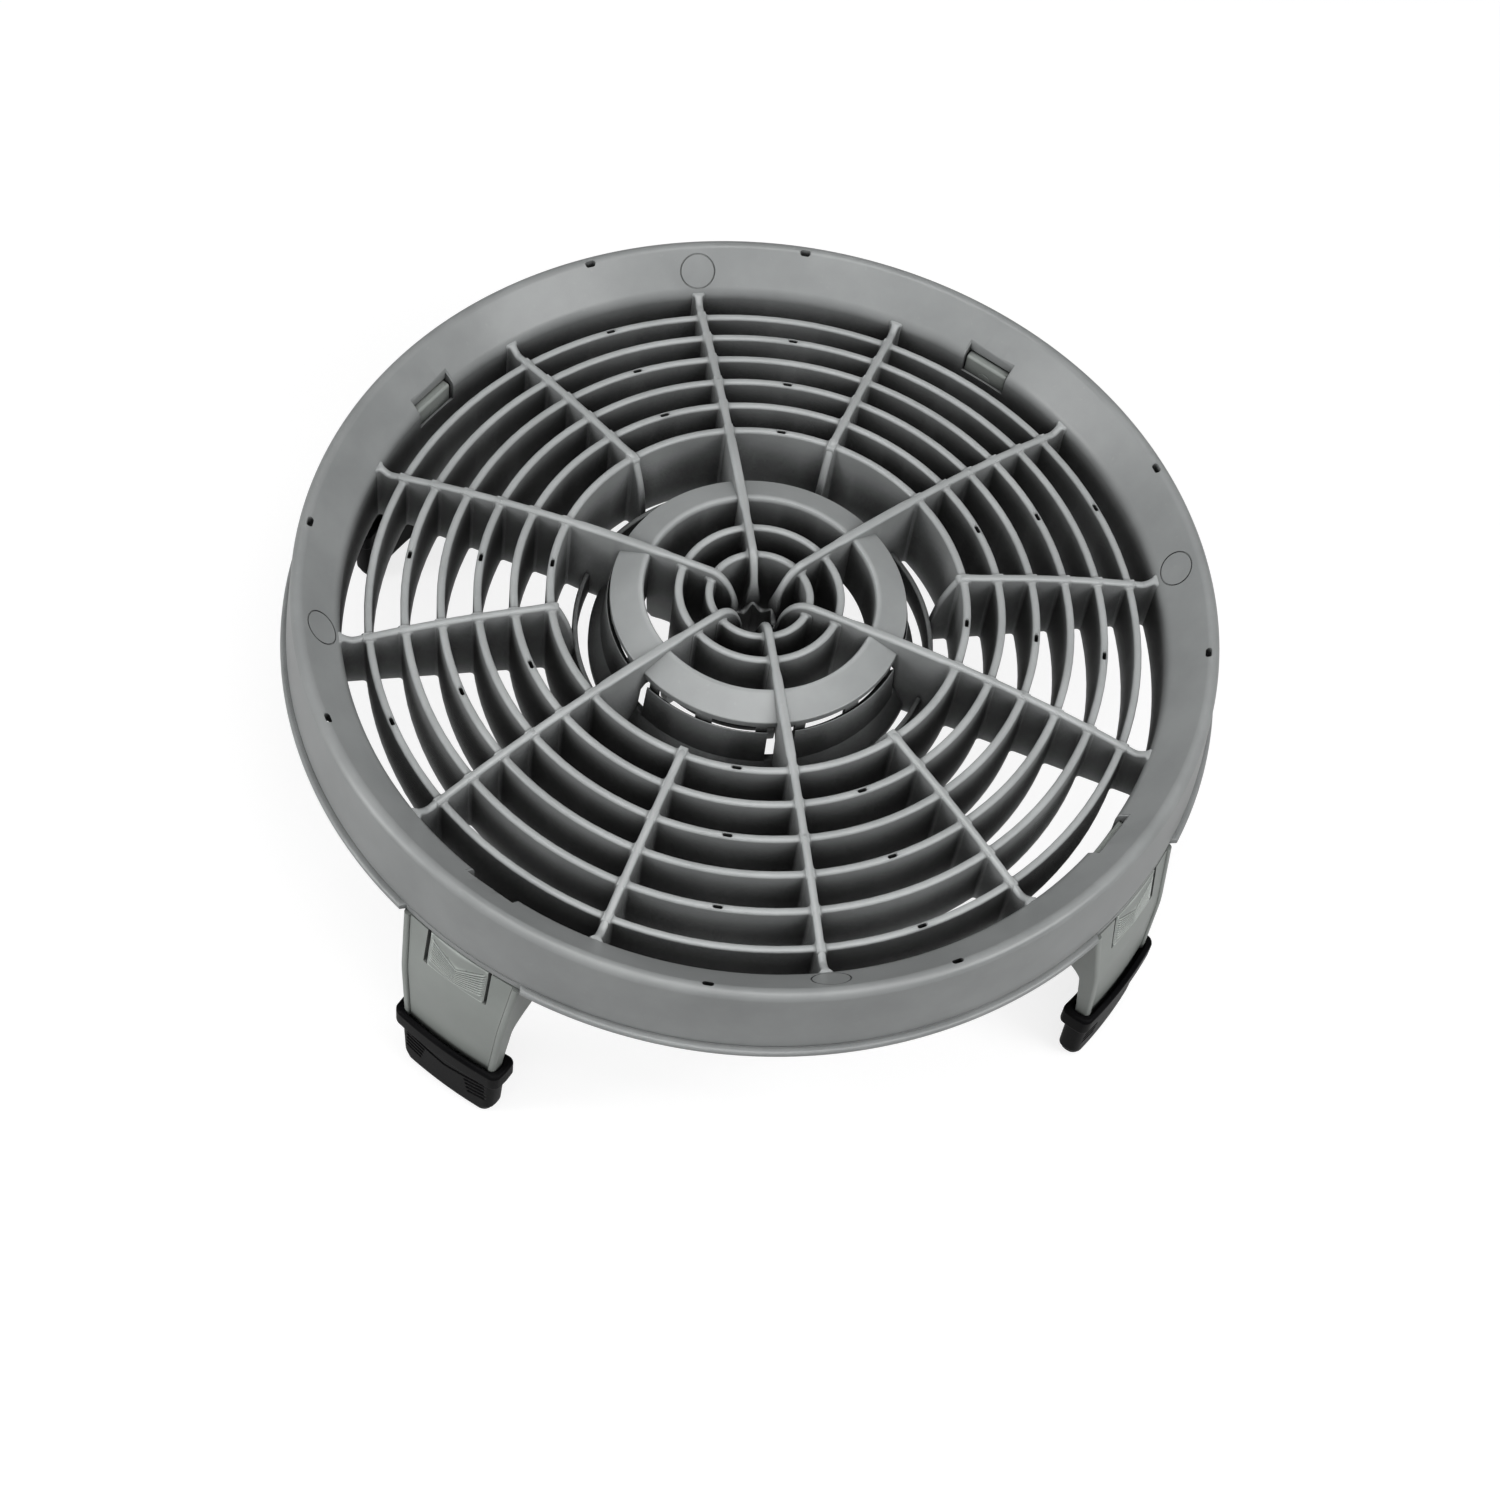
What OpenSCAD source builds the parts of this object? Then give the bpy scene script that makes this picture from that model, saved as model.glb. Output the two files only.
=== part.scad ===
// Standing grit guard: a round slatted grate on four clip-in legs with rubber shoes.
// The grate drops into a wash bucket and holds the water above the settled dirt.
// The origin is at the centre of the floor that the shoes stand on, and +Z is up.

/* [Overall] */
// Radius of the rim at its rolled upper edge
rim_r = 130; // [118:1:156]
// Height from the floor to the plane of the rim's upper edge
total_h = 97.5; // [82:0.5:118]

/* [Rim] */
// Width of the funnel flange that falls from the upper edge to the slats
flange_w = 13.3; // [11:0.1:17]
// Fall of the funnel flange across its width
flange_fall = 9.3; // [6:0.1:12]
// Radius of the rolled upper edge
edge_r = 2.2; // [1.6:0.1:3]
// Wall of the rim
rim_wall = 2.4; // [1.8:0.1:3]
// Height of the skirt, from the upper edge down to the foot of its lip
skirt_h = 26; // [22:0.5:30]
// Draft of the skirt: how much wider its foot is than its top
skirt_draft = 1.9; // [0.5:0.1:2.5]
// Thickness of the lip at the foot of the skirt
lip_h = 2.2; // [1.5:0.1:3]
// How far the lip stands out from the skirt
lip_proud = 1.6; // [0.8:0.1:2]
// Diameter of the round mould marks on the flange
mark_d = 10.8; // [8:0.1:11.5]
// Depth of the groove round each mould mark
mark_groove = 0.4; // [0.2:0.1:0.8]
// Width of that groove
mark_line = 0.7; // [0.4:0.1:1]

/* [Grille] */
// Depth of the grille's lower edge below the rim's upper edge
grille_depth = 30.7; // [27:0.1:36]
// Thickness of the slats
slat_t = 2.3; // [1.6:0.1:3]
// Radius of the innermost slat ring
slat_first_r = 58.6; // [57.5:0.1:60]
// Distance from one slat ring to the next
slat_pitch = 10.05; // [8.5:0.05:10.4]
// Thickness of the spokes
spoke_t = 2.3; // [1.6:0.1:3]
// How far the spokes stand above the slats
spoke_proud = 0.8; // [0.3:0.1:1.5]
// Depth of the grille's crown below the rim's upper edge
crown_drop = 1.2; // [0.9:0.1:4]
// Fall of the grille's domed top from its crown to the rim's radius
dome_fall = 16.6; // [10:0.1:18]
// Length of the small drain slots in the slats and the flange
slot_l = 2.6; // [1.5:0.1:4]
// Width of the small drain slots
slot_w = 1.1; // [0.8:0.1:1.4]
// Depth of the drain slots in the slats
slot_depth = 5; // [2:0.5:12]

/* [Hub] */
// Distance from a flat of the six-sided well to the axis, inside
well_r = 4.6; // [3.5:0.1:6]
// Wall of the well
well_wall = 1.8; // [1.4:0.1:2.2]
// Depth of the well's mouth below the rim's upper edge
well_drop = 16.5; // [12:0.5:22]
// Length of the curved nose where a long spoke falls into the well
nose_l = 9; // [6:0.5:10]
// Radii of the two slat rings inside the hub
hub_ring_r = [14.2, 22.8];
// Depth of the tops of those two rings below the rim's upper edge
hub_ring_drop = [3.4, 2.4];
// Inner radius of the sloping shoulder ring
shoulder_in_r = 32.5; // [30:0.1:34]
// Outer radius of the sloping shoulder ring
shoulder_out_r = 41.9; // [40.5:0.1:43]
// Depth of the shoulder's inner edge below the rim's upper edge
shoulder_drop = 1.7; // [1.5:0.1:4]
// Fall of the shoulder across its width
shoulder_fall = 4.1; // [2:0.1:6]
// Wall of the shoulder and its tube
hub_wall = 2.2; // [1.6:0.1:2.6]
// Depth of the tube's foot below the rim's upper edge
tube_drop = 23; // [14:0.5:28]
// Gap between the shoulder's edge and the collar's upper edge
collar_gap = 1.3; // [0.8:0.1:2]
// How far the collar's upper edge stands out past the shoulder's edge
collar_step = 0.7; // [0.3:0.1:1.2]
// Height of the collar
collar_h = 12.6; // [10:0.1:14]
// Width of the slot in the collar round each long spoke
collar_slot_w = 7.9; // [5:0.1:10]
// Width of the foot ring's slope outside the collar
foot_ring_w = 3.2; // [2.5:0.1:4]
// Thickness of the thin guard ring that ties the inner ends of the short spokes
guard_ring_t = 1.6; // [1.2:0.1:2]
// Radius of the guard ring's outer face
guard_ring_r = 51.7; // [50.5:0.1:52.5]

/* [Legs] */
// Half the width of a leg under the rim
leg_half_top = 19.6; // [17:0.1:22]
// Half the width of a leg where it enters its shoe
leg_half_foot = 16; // [14:0.1:16.5]
// Wall of a leg's front plate
leg_wall = 2.3; // [1.8:0.1:2.8]
// Thickness of a leg's side webs
web_t = 2.2; // [1.6:0.1:3]
// How far the edge beads of a leg stand out from its front plate
bead_proud = 0.9; // [0.4:0.1:1.5]
// Splay of a leg: outward slope of its front plate below the knee, in degrees
leg_splay = 1.8; // [0.5:0.1:6]
// Outward slope of the front plate above the knee, in degrees
plate_lean = 8; // [4:0.1:10]
// Distance from the skirt's foot down to the knee where the side webs narrow
knee_drop = 23; // [18:0.5:28]
// Height over which the side webs widen above the knee
web_root_h = 6; // [4:0.5:10]
// Width of the clip tongue that shows in the notch of the flange
clip_w = 14.2; // [10:0.1:18]
// Depth of the clip notch below the flange's inner edge
clip_depth = 7; // [4:0.1:9]
// How far the clip notch reaches out from the flange's inner edge
clip_reach = 4.6; // [4:0.1:6]
// Clearance between pieces that clip or slide together
clip_gap = 0.4; // [0.3:0.05:0.6]

/* [Release tabs] */
// Width of the finger pad between its two slits
pad_w = 19.4; // [14:0.1:22]
// Height of the finger pad
pad_h = 14.2; // [12:0.1:17.5]
// Width of the slits beside the finger pad
pad_slit = 1.5; // [1.2:0.1:2]
// Number of chevron ribs on the finger pad
chevrons = 9; // [5:1:10]
// How far the vertex of the top chevron lies below its ends
chevron_sag = 5.4; // [2:0.1:6]
// Height of the chevron ribs
chevron_h = 0.35; // [0.2:0.05:0.6]
// Thickness of the chevron ribs
chevron_t = 0.5; // [0.3:0.05:0.7]

/* [Shoes] */
// Half the length of a shoe's body
shoe_half = 16.8; // [16.6:0.1:19]
// Thickness of a shoe's body
shoe_t = 6.6; // [6:0.1:8]
// Height of a shoe
shoe_h = 27; // [24:0.1:32]
// How much each end of a shoe draws in from its collar to its sole
shoe_taper = 0.8; // [0:0.1:1.5]
// Height of a shoe's rolled collar
shoe_collar_h = 7; // [5:0.1:9]
// Depth of the mouth in the collar that takes the end of the leg
mouth_depth = 2.2; // [1:0.1:4]
// How far the rolled collar stands out from the body
shoe_collar_proud = 1.3; // [1:0.1:2.5]
// Thickness of the leg's foot inside the shoe
foot_t = 3.4; // [2.8:0.1:4]
// Depth of rubber under the leg's foot
sole_t = 5; // [4:0.1:7]
// Height of the slot through each end of a shoe
shoe_slit_h = 1.1; // [0.8:0.1:2]

/* [Hidden] */

$fn = 96;
grate_colour = [0.55, 0.57, 0.57];
leg_colour = [0.60, 0.62, 0.60];
tab_colour = [0.56, 0.58, 0.55];
rubber_colour = [0.10, 0.10, 0.10];

top_z = total_h;
bottom_z = top_z - grille_depth;
far = 400;                          // longer than anything that is cut
dome_pow = 2.8;                     // the domed top falls with this power of the radius
long_count = 6;
spoke_step = 360 / (2 * long_count);
leg_count = 4;
leg_azimuth = 45;
skin = 0.6;                         // thin skin of the rim's inner wall in front of a clip tongue
slide_gap = 0.3;                    // clearance between a clip tongue and that skin

flange_in_r = rim_r - flange_w;
flange_in_z = top_z - 1 - flange_fall;
wall_out_r = flange_in_r + rim_wall;
roll_r = rim_r - edge_r;            // radius of the middle of the rolled edge
roll_run = roll_r - flange_in_r;    // from the flange's inner edge to that middle, outwards and up
roll_rise = top_z - edge_r - flange_in_z;
// the flange is the tangent from its inner edge to the rolled edge
flange_slope = atan2(roll_rise, roll_run) + asin(edge_r / norm([roll_run, roll_rise]));
flange_foot_z = flange_in_z - rim_wall * 0.6;
mark_azimuths = [0, 90, 180, 270];
mark_r = flange_in_r + roll_run * 0.45;  // radius of the middle of a mould mark
skirt_r = rim_r + skirt_draft;      // outer radius of the skirt at its foot
lip_r = skirt_r + lip_proud;
skirt_foot_z = top_z - skirt_h;

collar_top_z = top_z - shoulder_drop - shoulder_fall - hub_wall - collar_gap;
collar_foot_z = collar_top_z - collar_h;
collar_top_r = shoulder_out_r + collar_step;
collar_foot_r = collar_top_r + 1.1;

knee_z = skirt_foot_z - knee_drop;
root_z = knee_z + web_root_h;       // foot of the cross wall between a leg's webs
leg_top_z = flange_in_z - 4;        // upper end of the webs, under the flange
plate_top_z = skirt_foot_z - clip_gap;
pad_foot_z = plate_top_z - pad_h;
web_in_r = wall_out_r + 2 * clip_gap;
web_out_r = skirt_r - rim_wall - skirt_draft - clip_gap - slide_gap;
leg_near_r = rim_r / 2;             // a radius well inside the legs, where their cutters start
foot_half = leg_half_foot - 2;      // half the width of the bar inside the shoe
leg_end_z = shoe_h - mouth_depth + slide_gap;
shoe_mid = leg_out(shoe_h) - foot_t / 2;               // radius of the middle of a shoe
mouth_half_t = foot_t / 2 + bead_proud + clip_gap;
hinge_r = leg_wall / 2;             // round foot of a finger pad, on the pad's hinge axis
hinge_z = pad_foot_z + slide_gap + hinge_r;
collar_low_z = shoe_h - shoe_collar_h;
sole_flat = 0.12;                   // how much of the round sole is flattened where it stands

// Depth of the domed top of the slats below the rim's upper edge, at radius r
function dome_drop(r) = crown_drop + dome_fall * pow(r / rim_r, dome_pow);
function slat_r(i) = slat_first_r + (i - 1) * slat_pitch;
function slat_top(i) = top_z - dome_drop(slat_r(i));
function spoke_top(r) = top_z - dome_drop(r) + spoke_proud;
function arc(x, y, r, a0, a1, n) = [for (i = [0:n]) let (a = a0 + (a1 - a0) * i / n)
                                    [x + r * cos(a), y + r * sin(a)]];

// ---- helpers ----

// A plate standing on the axis plane, with its outline given as [radius, height] points
module radial_plate(points, t) {
    rotate([90, 0, 0]) translate([0, 0, -t / 2]) linear_extrude(t) polygon(points);
}

// A prism seen along the radius, with its outline given as [sideways, height] points
module face_prism(points) {
    rotate([90, 0, 90]) translate([0, 0, leg_near_r]) linear_extrude(far) polygon(points);
}

// The planes of the spokes, as cutters that part a ring into the stretches between them
module spoke_cutters(count, t, r0 = 0) {
    for (i = [0:count - 1]) rotate(90 + i * 360 / count)
        translate([r0, -t / 2, -far / 2]) cube([far, t, far]);
}

// A slat ring with a rounded top, parted by the spokes
module ring_slat(r, top, bottom, t, count) {
    difference() {
        rotate_extrude() {
            translate([r - t / 2, bottom]) square([t, top - t / 2 - bottom]);
            translate([r, top - t / 2]) circle(d = t, $fn = 24);
        }
        spoke_cutters(count, spoke_t);
    }
}

// A small drain slot, its length along the ring at radius r
module drain_slot(r, azimuth, z0, z1) {
    rotate(azimuth) translate([r - slot_w / 2, -slot_l / 2, z0]) cube([slot_w, slot_l, z1 - z0]);
}

module at_leg(i) {
    rotate(leg_azimuth + (i - 1) * 360 / leg_count) children();
}

// Solid of revolution about the grate's axis, over the width of one leg
module leg_sweep() {
    rotate([0, 0, -12]) rotate_extrude(angle = 24, $fn = 180) children();
}

// ---- rim ----

// Cross-section of the rim: lip, skirt, rolled edge, funnel flange and inner wall
module rim_section() {
    roll_z = top_z - edge_r;
    polygon(concat(
        [[lip_r, skirt_foot_z], [lip_r, skirt_foot_z + lip_h * 0.6],
         [lip_r - lip_proud * 0.4, skirt_foot_z + lip_h], [skirt_r - 0.1, skirt_foot_z + lip_h + 0.6]],
        arc(roll_r, roll_z, edge_r, 0, 90 + flange_slope, 6),
        [[flange_in_r + 0.6, flange_in_z + 0.6 * tan(flange_slope)], [flange_in_r, flange_in_z - 0.9],
         [flange_in_r, bottom_z], [wall_out_r, bottom_z],
         [wall_out_r, flange_in_z - rim_wall * 0.6],
         [roll_r - rim_wall * 0.5, roll_z - rim_wall * 0.6],
         [rim_r - rim_wall, roll_z - rim_wall * 0.9],
         [skirt_r - rim_wall, skirt_foot_z]]));
}

// Skirt with its lip and the rolled upper edge
module rim_skirt() {
    color(grate_colour) difference() {
        rotate_extrude($fn = 180) intersection() {
            rim_section();
            translate([roll_r, 0]) square([far, far]);
        }
        // the lip stops at each leg
        for (i = [1:leg_count]) difference() {
            at_leg(i) translate([leg_near_r, -leg_half_top - clip_gap, skirt_foot_z - 1])
                cube([far, 2 * (leg_half_top + clip_gap), lip_h + 1.7]);
            cylinder(r = skirt_r, h = far);
        }
    }
}

// Notch in the flange's inner edge for each clip tongue, and the channel it slides in
module clip_notches() {
    half = clip_w / 2 + clip_gap;
    for (i = [1:leg_count]) at_leg(i) {
        translate([flange_in_r - 2, -half, flange_in_z - clip_depth])
            cube([clip_reach + 2, 2 * half, far]);
        translate([flange_in_r + skin, -half, bottom_z - 1])
            cube([clip_reach - skin, 2 * half, far]);
    }
}

// Funnel flange between the rolled edge and the inner wall
module rim_flange() {
    color(grate_colour) difference() {
        rotate_extrude($fn = 180) intersection() {
            rim_section();
            translate([0, flange_foot_z]) square([roll_r, far]);
        }
        clip_notches();
        for (a = mark_azimuths) {
            for (side = [-1, 1])
                drain_slot(roll_r - slot_w, a + side * spoke_step / 2, top_z - 12, top_z + 1);
            // groove round the mould mark, square to the slope of the flange
            rotate(a) translate([mark_r, 0, flange_in_z + (mark_r - flange_in_r) * tan(flange_slope)])
                rotate([0, -flange_slope, 0]) translate([0, 0, -mark_groove]) difference() {
                    cylinder(d = mark_d, h = 5, $fn = 48);
                    translate([0, 0, -1]) cylinder(d = mark_d - 2 * mark_line, h = 7, $fn = 48);
                }
        }
    }
}

// Inner wall that hangs from the flange and holds the ends of the spokes
module rim_wall() {
    color(grate_colour) difference() {
        rotate_extrude($fn = 180) intersection() {
            rim_section();
            square([roll_r, flange_foot_z]);
        }
        clip_notches();
    }
}

// ---- grille ----

// Outline of a long spoke, from the well to the rim's inner wall
module long_spoke() {
    r0 = well_r / cos(30);
    nose_top = spoke_top(r0 + nose_l);
    nose_h = nose_top - (top_z - well_drop);
    nose = [for (a = [0:10:90]) [r0 + nose_l * (1 - cos(a)), nose_top - nose_h * (1 - sin(a))]];
    run_end = flange_in_r - 4;
    run = [for (i = [1:16]) let (r = r0 + nose_l + (run_end - r0 - nose_l) * i / 16) [r, spoke_top(r)]];
    flare = [[flange_in_r - 2, spoke_top(run_end) + 0.1], [flange_in_r + 0.01, flange_in_z - 0.9]];
    outline = concat([[r0, bottom_z]], nose, run, flare, [[flange_in_r + 0.01, bottom_z]]);
    radial_plate(outline, spoke_t);
}

// Outline of a short spoke, from the guard ring to the rim's inner wall
module short_spoke() {
    r0 = guard_ring_r;
    corner_r = slat_r(1) - 1;
    corner_z = spoke_top(corner_r);
    run_end = flange_in_r - 4;
    end = [[r0, bottom_z], [r0, top_z - 24], [r0 + 0.6, top_z - 18], [r0 + 2, top_z - 12],
           [r0 + 3.9, top_z - 6.2], [r0 + 4.7, top_z - 4], [corner_r - 0.8, corner_z - 0.5]];
    run = [for (i = [0:12]) let (r = corner_r + (run_end - corner_r) * i / 12) [r, spoke_top(r)]];
    flare = [[flange_in_r - 2, spoke_top(run_end) + 0.1], [flange_in_r + 0.01, flange_in_z - 0.9]];
    radial_plate(concat(end, run, flare, [[flange_in_r + 0.01, bottom_z]]), spoke_t);
}

module long_spokes() {
    color(grate_colour) intersection() {
        for (i = [0:long_count - 1]) rotate(90 + i * 2 * spoke_step) long_spoke();
        difference() {
            cylinder(r = flange_in_r, h = far);
            translate([0, 0, -1]) rotate(90)
                cylinder(r = (well_r + well_wall) / cos(30), h = top_z - well_drop + 1, $fn = 6);
        }
    }
}

module short_spokes() {
    color(grate_colour) intersection() {
        for (i = [0:long_count - 1]) rotate(90 + (2 * i + 1) * spoke_step) short_spoke();
        difference() {
            cylinder(r = flange_in_r, h = far);
            translate([0, 0, -1]) cylinder(r = guard_ring_r, h = far + 2);
        }
    }
}

// Slat ring i, counted from the hub, with its drain slots in every third sector
module slat_ring(i) {
    r = slat_r(i);
    turn = i % 2 == 0 ? 1 : -1;
    color(grate_colour) difference() {
        ring_slat(r, slat_top(i), bottom_z, slat_t, 2 * long_count);
        for (a = mark_azimuths)
            drain_slot(r, a + turn * spoke_step / 2, slat_top(i) - slot_depth, slat_top(i) + 1);
    }
}
module slat_ring_1() { slat_ring(1); }
module slat_ring_2() { slat_ring(2); }
module slat_ring_3() { slat_ring(3); }
module slat_ring_4() { slat_ring(4); }
module slat_ring_5() { slat_ring(5); }
module slat_ring_6() { slat_ring(6); }

// ---- hub ----

module hub_ring_inner() {
    color(grate_colour) ring_slat(hub_ring_r[0], top_z - hub_ring_drop[0], bottom_z, slat_t, long_count);
}
module hub_ring_outer() {
    color(grate_colour) ring_slat(hub_ring_r[1], top_z - hub_ring_drop[1], bottom_z, slat_t, long_count);
}

// Six-sided tube that the long spokes run into, with its mouth dished between them
module centre_well() {
    out_r = (well_r + well_wall) / cos(30);
    color(grate_colour) difference() {
        translate([0, 0, bottom_z]) rotate(90)
            cylinder(r = out_r, h = grille_depth - well_drop, $fn = 6);
        translate([0, 0, bottom_z - 1]) rotate(90) cylinder(r = well_r / cos(30), h = far, $fn = 6);
        for (i = [0:long_count - 1]) rotate(i * 2 * spoke_step)
            translate([0, 0, top_z - well_drop + 1.2]) rotate([0, 90, 0])
                cylinder(r = 2.4, h = far, $fn = 32);
    }
}

// Sloping ring round the hub, with the tube that hangs from its inner edge
module shoulder() {
    in_z = top_z - shoulder_drop;
    out_z = in_z - shoulder_fall;
    foot_z = top_z - tube_drop;
    color(grate_colour) difference() {
        rotate_extrude() polygon([
            [shoulder_in_r, foot_z], [shoulder_in_r, in_z - 1.6],
            [shoulder_in_r + 0.5, in_z - 0.6], [shoulder_in_r + 1.6, in_z - 0.5],
            [shoulder_out_r, out_z], [shoulder_out_r, out_z - hub_wall],
            [shoulder_in_r + hub_wall, in_z - hub_wall - 0.8], [shoulder_in_r + hub_wall, foot_z]]);
        spoke_cutters(long_count, spoke_t);
    }
}

// Six wall segments between the long spokes, each with tabs that reach up to the shoulder:
// a wide one at its middle and a narrow one near each end
module collar() {
    end_tab = 22.6;                 // degrees from the middle of a segment to its end tabs
    tabs = [[-end_tab, 2.1], [0, 3.3], [end_tab, 2.1]];
    tab_in_r = collar_top_r - hub_wall + 0.3;
    color(grate_colour) difference() {
        union() {
            rotate_extrude() polygon([
                [collar_foot_r - hub_wall, collar_foot_z], [collar_foot_r, collar_foot_z],
                [collar_top_r, collar_top_z - 0.5], [collar_top_r - 0.5, collar_top_z],
                [collar_top_r - hub_wall, collar_top_z]]);
            for (i = [0:long_count - 1], t = tabs) rotate(120 + i * 2 * spoke_step + t[0] - t[1])
                rotate_extrude(angle = 2 * t[1])
                    translate([tab_in_r, collar_top_z - 1])
                        square([shoulder_out_r - 0.1 - tab_in_r, 1 + collar_gap]);
        }
        spoke_cutters(long_count, collar_slot_w);
    }
}

// Ring under the collar: flat where the collar stands, then sloping out and down
module foot_ring() {
    color(grate_colour) difference() {
        rotate_extrude() polygon([
            [collar_foot_r - hub_wall, bottom_z], [collar_foot_r + foot_ring_w, bottom_z],
            [collar_foot_r + foot_ring_w, bottom_z + 3], [collar_foot_r, collar_foot_z],
            [collar_foot_r - hub_wall, collar_foot_z]]);
        spoke_cutters(long_count, spoke_t);
    }
}

module guard_ring() {
    color(grate_colour) difference() {
        rotate_extrude() translate([guard_ring_r - guard_ring_t, bottom_z])
            square([guard_ring_t, collar_foot_z - bottom_z]);
        spoke_cutters(long_count, spoke_t);
    }
}

// ---- legs ----

// Radius of the outer face of a leg's front plate at height z; inside the shoe it is upright
function leg_out(z) = z > knee_z ? skirt_r + (plate_top_z - z) * tan(plate_lean)
                                 : skirt_r + (plate_top_z - knee_z) * tan(plate_lean)
                                   + (knee_z - max(z, shoe_h)) * tan(leg_splay);
// Half the width of a leg at height z
function leg_half(z) = leg_half_top
    - (leg_half_top - leg_half_foot) * (plate_top_z - max(z, shoe_h)) / (plate_top_z - shoe_h);

// Radial section of a leg's front plate
module plate_section() {
    polygon([[leg_out(plate_top_z), plate_top_z], [leg_out(knee_z), knee_z],
             [leg_out(shoe_h), shoe_h], [leg_out(shoe_h), leg_end_z],
             [leg_out(shoe_h) - leg_wall, leg_end_z], [leg_out(shoe_h) - leg_wall, shoe_h],
             [leg_out(knee_z) - leg_wall, knee_z],
             [leg_out(plate_top_z) - leg_wall, plate_top_z]]);
}

// Radial section of a leg's side webs: bead outside, knee and long root inside
module web_section() {
    b = bead_proud;
    polygon([[leg_out(plate_top_z) + b, plate_top_z], [leg_out(knee_z) + b, knee_z],
             [leg_out(shoe_h) + b, shoe_h], [leg_out(shoe_h) + b, leg_end_z],
             [leg_out(shoe_h) - foot_t, leg_end_z], [leg_out(shoe_h) - foot_t, shoe_h],
             [leg_out(knee_z) - leg_wall - 2, knee_z - 2.8],
             [leg_out(knee_z) - leg_wall - 5, knee_z + 0.6],
             [web_in_r, root_z], [web_in_r, leg_top_z], [web_out_r, leg_top_z],
             [web_out_r, plate_top_z]]);
}

function foot_r(z) = leg_out(z) - foot_t;

// Flat bar at the end of a leg, pushed into the shoe
module foot_section(grow) {
    z1 = shoe_h + 1;
    z0 = sole_t - grow;
    set_in = 0.15;                  // the foot's outer face lies just inside the plate's
    polygon([[foot_r(z1) - grow, z1], [leg_out(z1) - set_in + grow, z1],
             [leg_out(z0) - set_in + grow, z0], [foot_r(z0) - grow, z0]]);
}

// Outline of a leg seen from outside, set in from its edges
module leg_outline(inset, z0, z1) {
    foot = leg_half(shoe_h) - inset;
    top = leg_half(z1) - inset;
    bend = shoe_h + 0.4;
    face_prism([[-foot, z0], [foot, z0], [foot, bend], [top, z1], [-top, z1], [-foot, bend]]);
}

module leg_body() {
    color(leg_colour) difference() {
        union() {
            // front plate
            intersection() {
                leg_sweep() plate_section();
                leg_outline(0.1, leg_end_z, plate_top_z);
            }
            // side webs with their beads
            intersection() {
                leg_sweep() web_section();
                difference() {
                    leg_outline(0, leg_end_z, leg_top_z);
                    leg_outline(web_t, leg_end_z - 1, leg_top_z + 1);
                }
            }
            // foot
            intersection() {
                leg_sweep() foot_section(0);
                face_prism([[-foot_half, sole_t], [foot_half, sole_t],
                            [foot_half, shoe_h + 1], [-foot_half, shoe_h + 1]]);
            }
            // cross wall between the webs, and the clip tongue that rises from it
            translate([web_in_r, web_t / 2 - leg_half(root_z), root_z])
                cube([leg_wall, 2 * leg_half(root_z) - web_t, leg_top_z - root_z - web_root_h]);
            clip_tongue();
        }
        tab_window();
    }
}

// Tongue with a rounded head, standing in the notch of the flange
module clip_tongue() {
    face_r = flange_in_r + skin + slide_gap;
    head_r = 1.6;
    top = flange_in_z - 0.4;
    foot = bottom_z + 3;
    translate([0, clip_w / 2, 0]) rotate([90, 0, 0]) linear_extrude(clip_w) {
        translate([face_r, foot]) square([2 * head_r, top - head_r - foot]);
        translate([face_r + head_r, top - head_r]) circle(r = head_r, $fn = 32);
    }
}

// Window in the front plate that leaves the slits beside the finger pad
module tab_window() {
    half = pad_w / 2 + pad_slit;
    translate([leg_out(plate_top_z) - leg_wall - 3, -half, pad_foot_z]) cube([60, 2 * half, pad_h + 1]);
}

// ---- release tabs ----

// Finger pad with chevron ribs, and the riser that reaches up behind the skirt
module release_tab_body() {
    pad_bow = leg_out(hinge_z) - sqrt(pow(leg_out(hinge_z), 2) - pow(pad_w / 2, 2));
    rise_r = web_out_r - 0.2;
    step_z = plate_top_z - 1.4;
    color(tab_colour) union() {
        intersection() {
            leg_sweep()
                polygon([[leg_out(plate_top_z), plate_top_z], [leg_out(hinge_z), hinge_z],
                         [leg_out(hinge_z) - leg_wall, hinge_z],
                         [leg_out(step_z) - leg_wall, step_z],
                         [rise_r - leg_wall, step_z - 1.4], [rise_r - leg_wall, leg_top_z - 2],
                         [rise_r, leg_top_z - 2], [rise_r, plate_top_z]]);
            face_prism([[-pad_w / 2, pad_foot_z], [pad_w / 2, pad_foot_z],
                        [pad_w / 2, leg_top_z], [-pad_w / 2, leg_top_z]]);
        }
        // round foot on the hinge axis
        translate([leg_out(hinge_z) - hinge_r - pad_bow / 2, pad_w / 2, hinge_z])
            rotate([90, 0, 0]) cylinder(r = hinge_r, h = pad_w, $fn = 48);
        chevron_ribs();
    }
}

// Chevron ribs: each is a V, and the Vs flatten towards the foot of the pad
module chevron_ribs() {
    half = pad_w / 2 - 0.9;
    pitch = (pad_h - 5.2) / (chevrons - 1);
    for (i = [0:chevrons - 1]) {
        z = plate_top_z - 2.2 - i * pitch;
        sag = chevron_sag * (1 - 0.6 * i / (chevrons - 1));
        intersection() {
            face_prism([[-half, z], [0, z - sag], [half, z], [half, z - chevron_t],
                        [0, z - sag - chevron_t], [-half, z - chevron_t]]);
            leg_sweep()
                polygon([[leg_out(plate_top_z) + chevron_h, plate_top_z],
                         [leg_out(pad_foot_z) + chevron_h, pad_foot_z],
                         [leg_out(pad_foot_z) - 0.3, pad_foot_z],
                         [leg_out(plate_top_z) - 0.3, plate_top_z]]);
        }
    }
}

// ---- shoes ----

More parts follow.
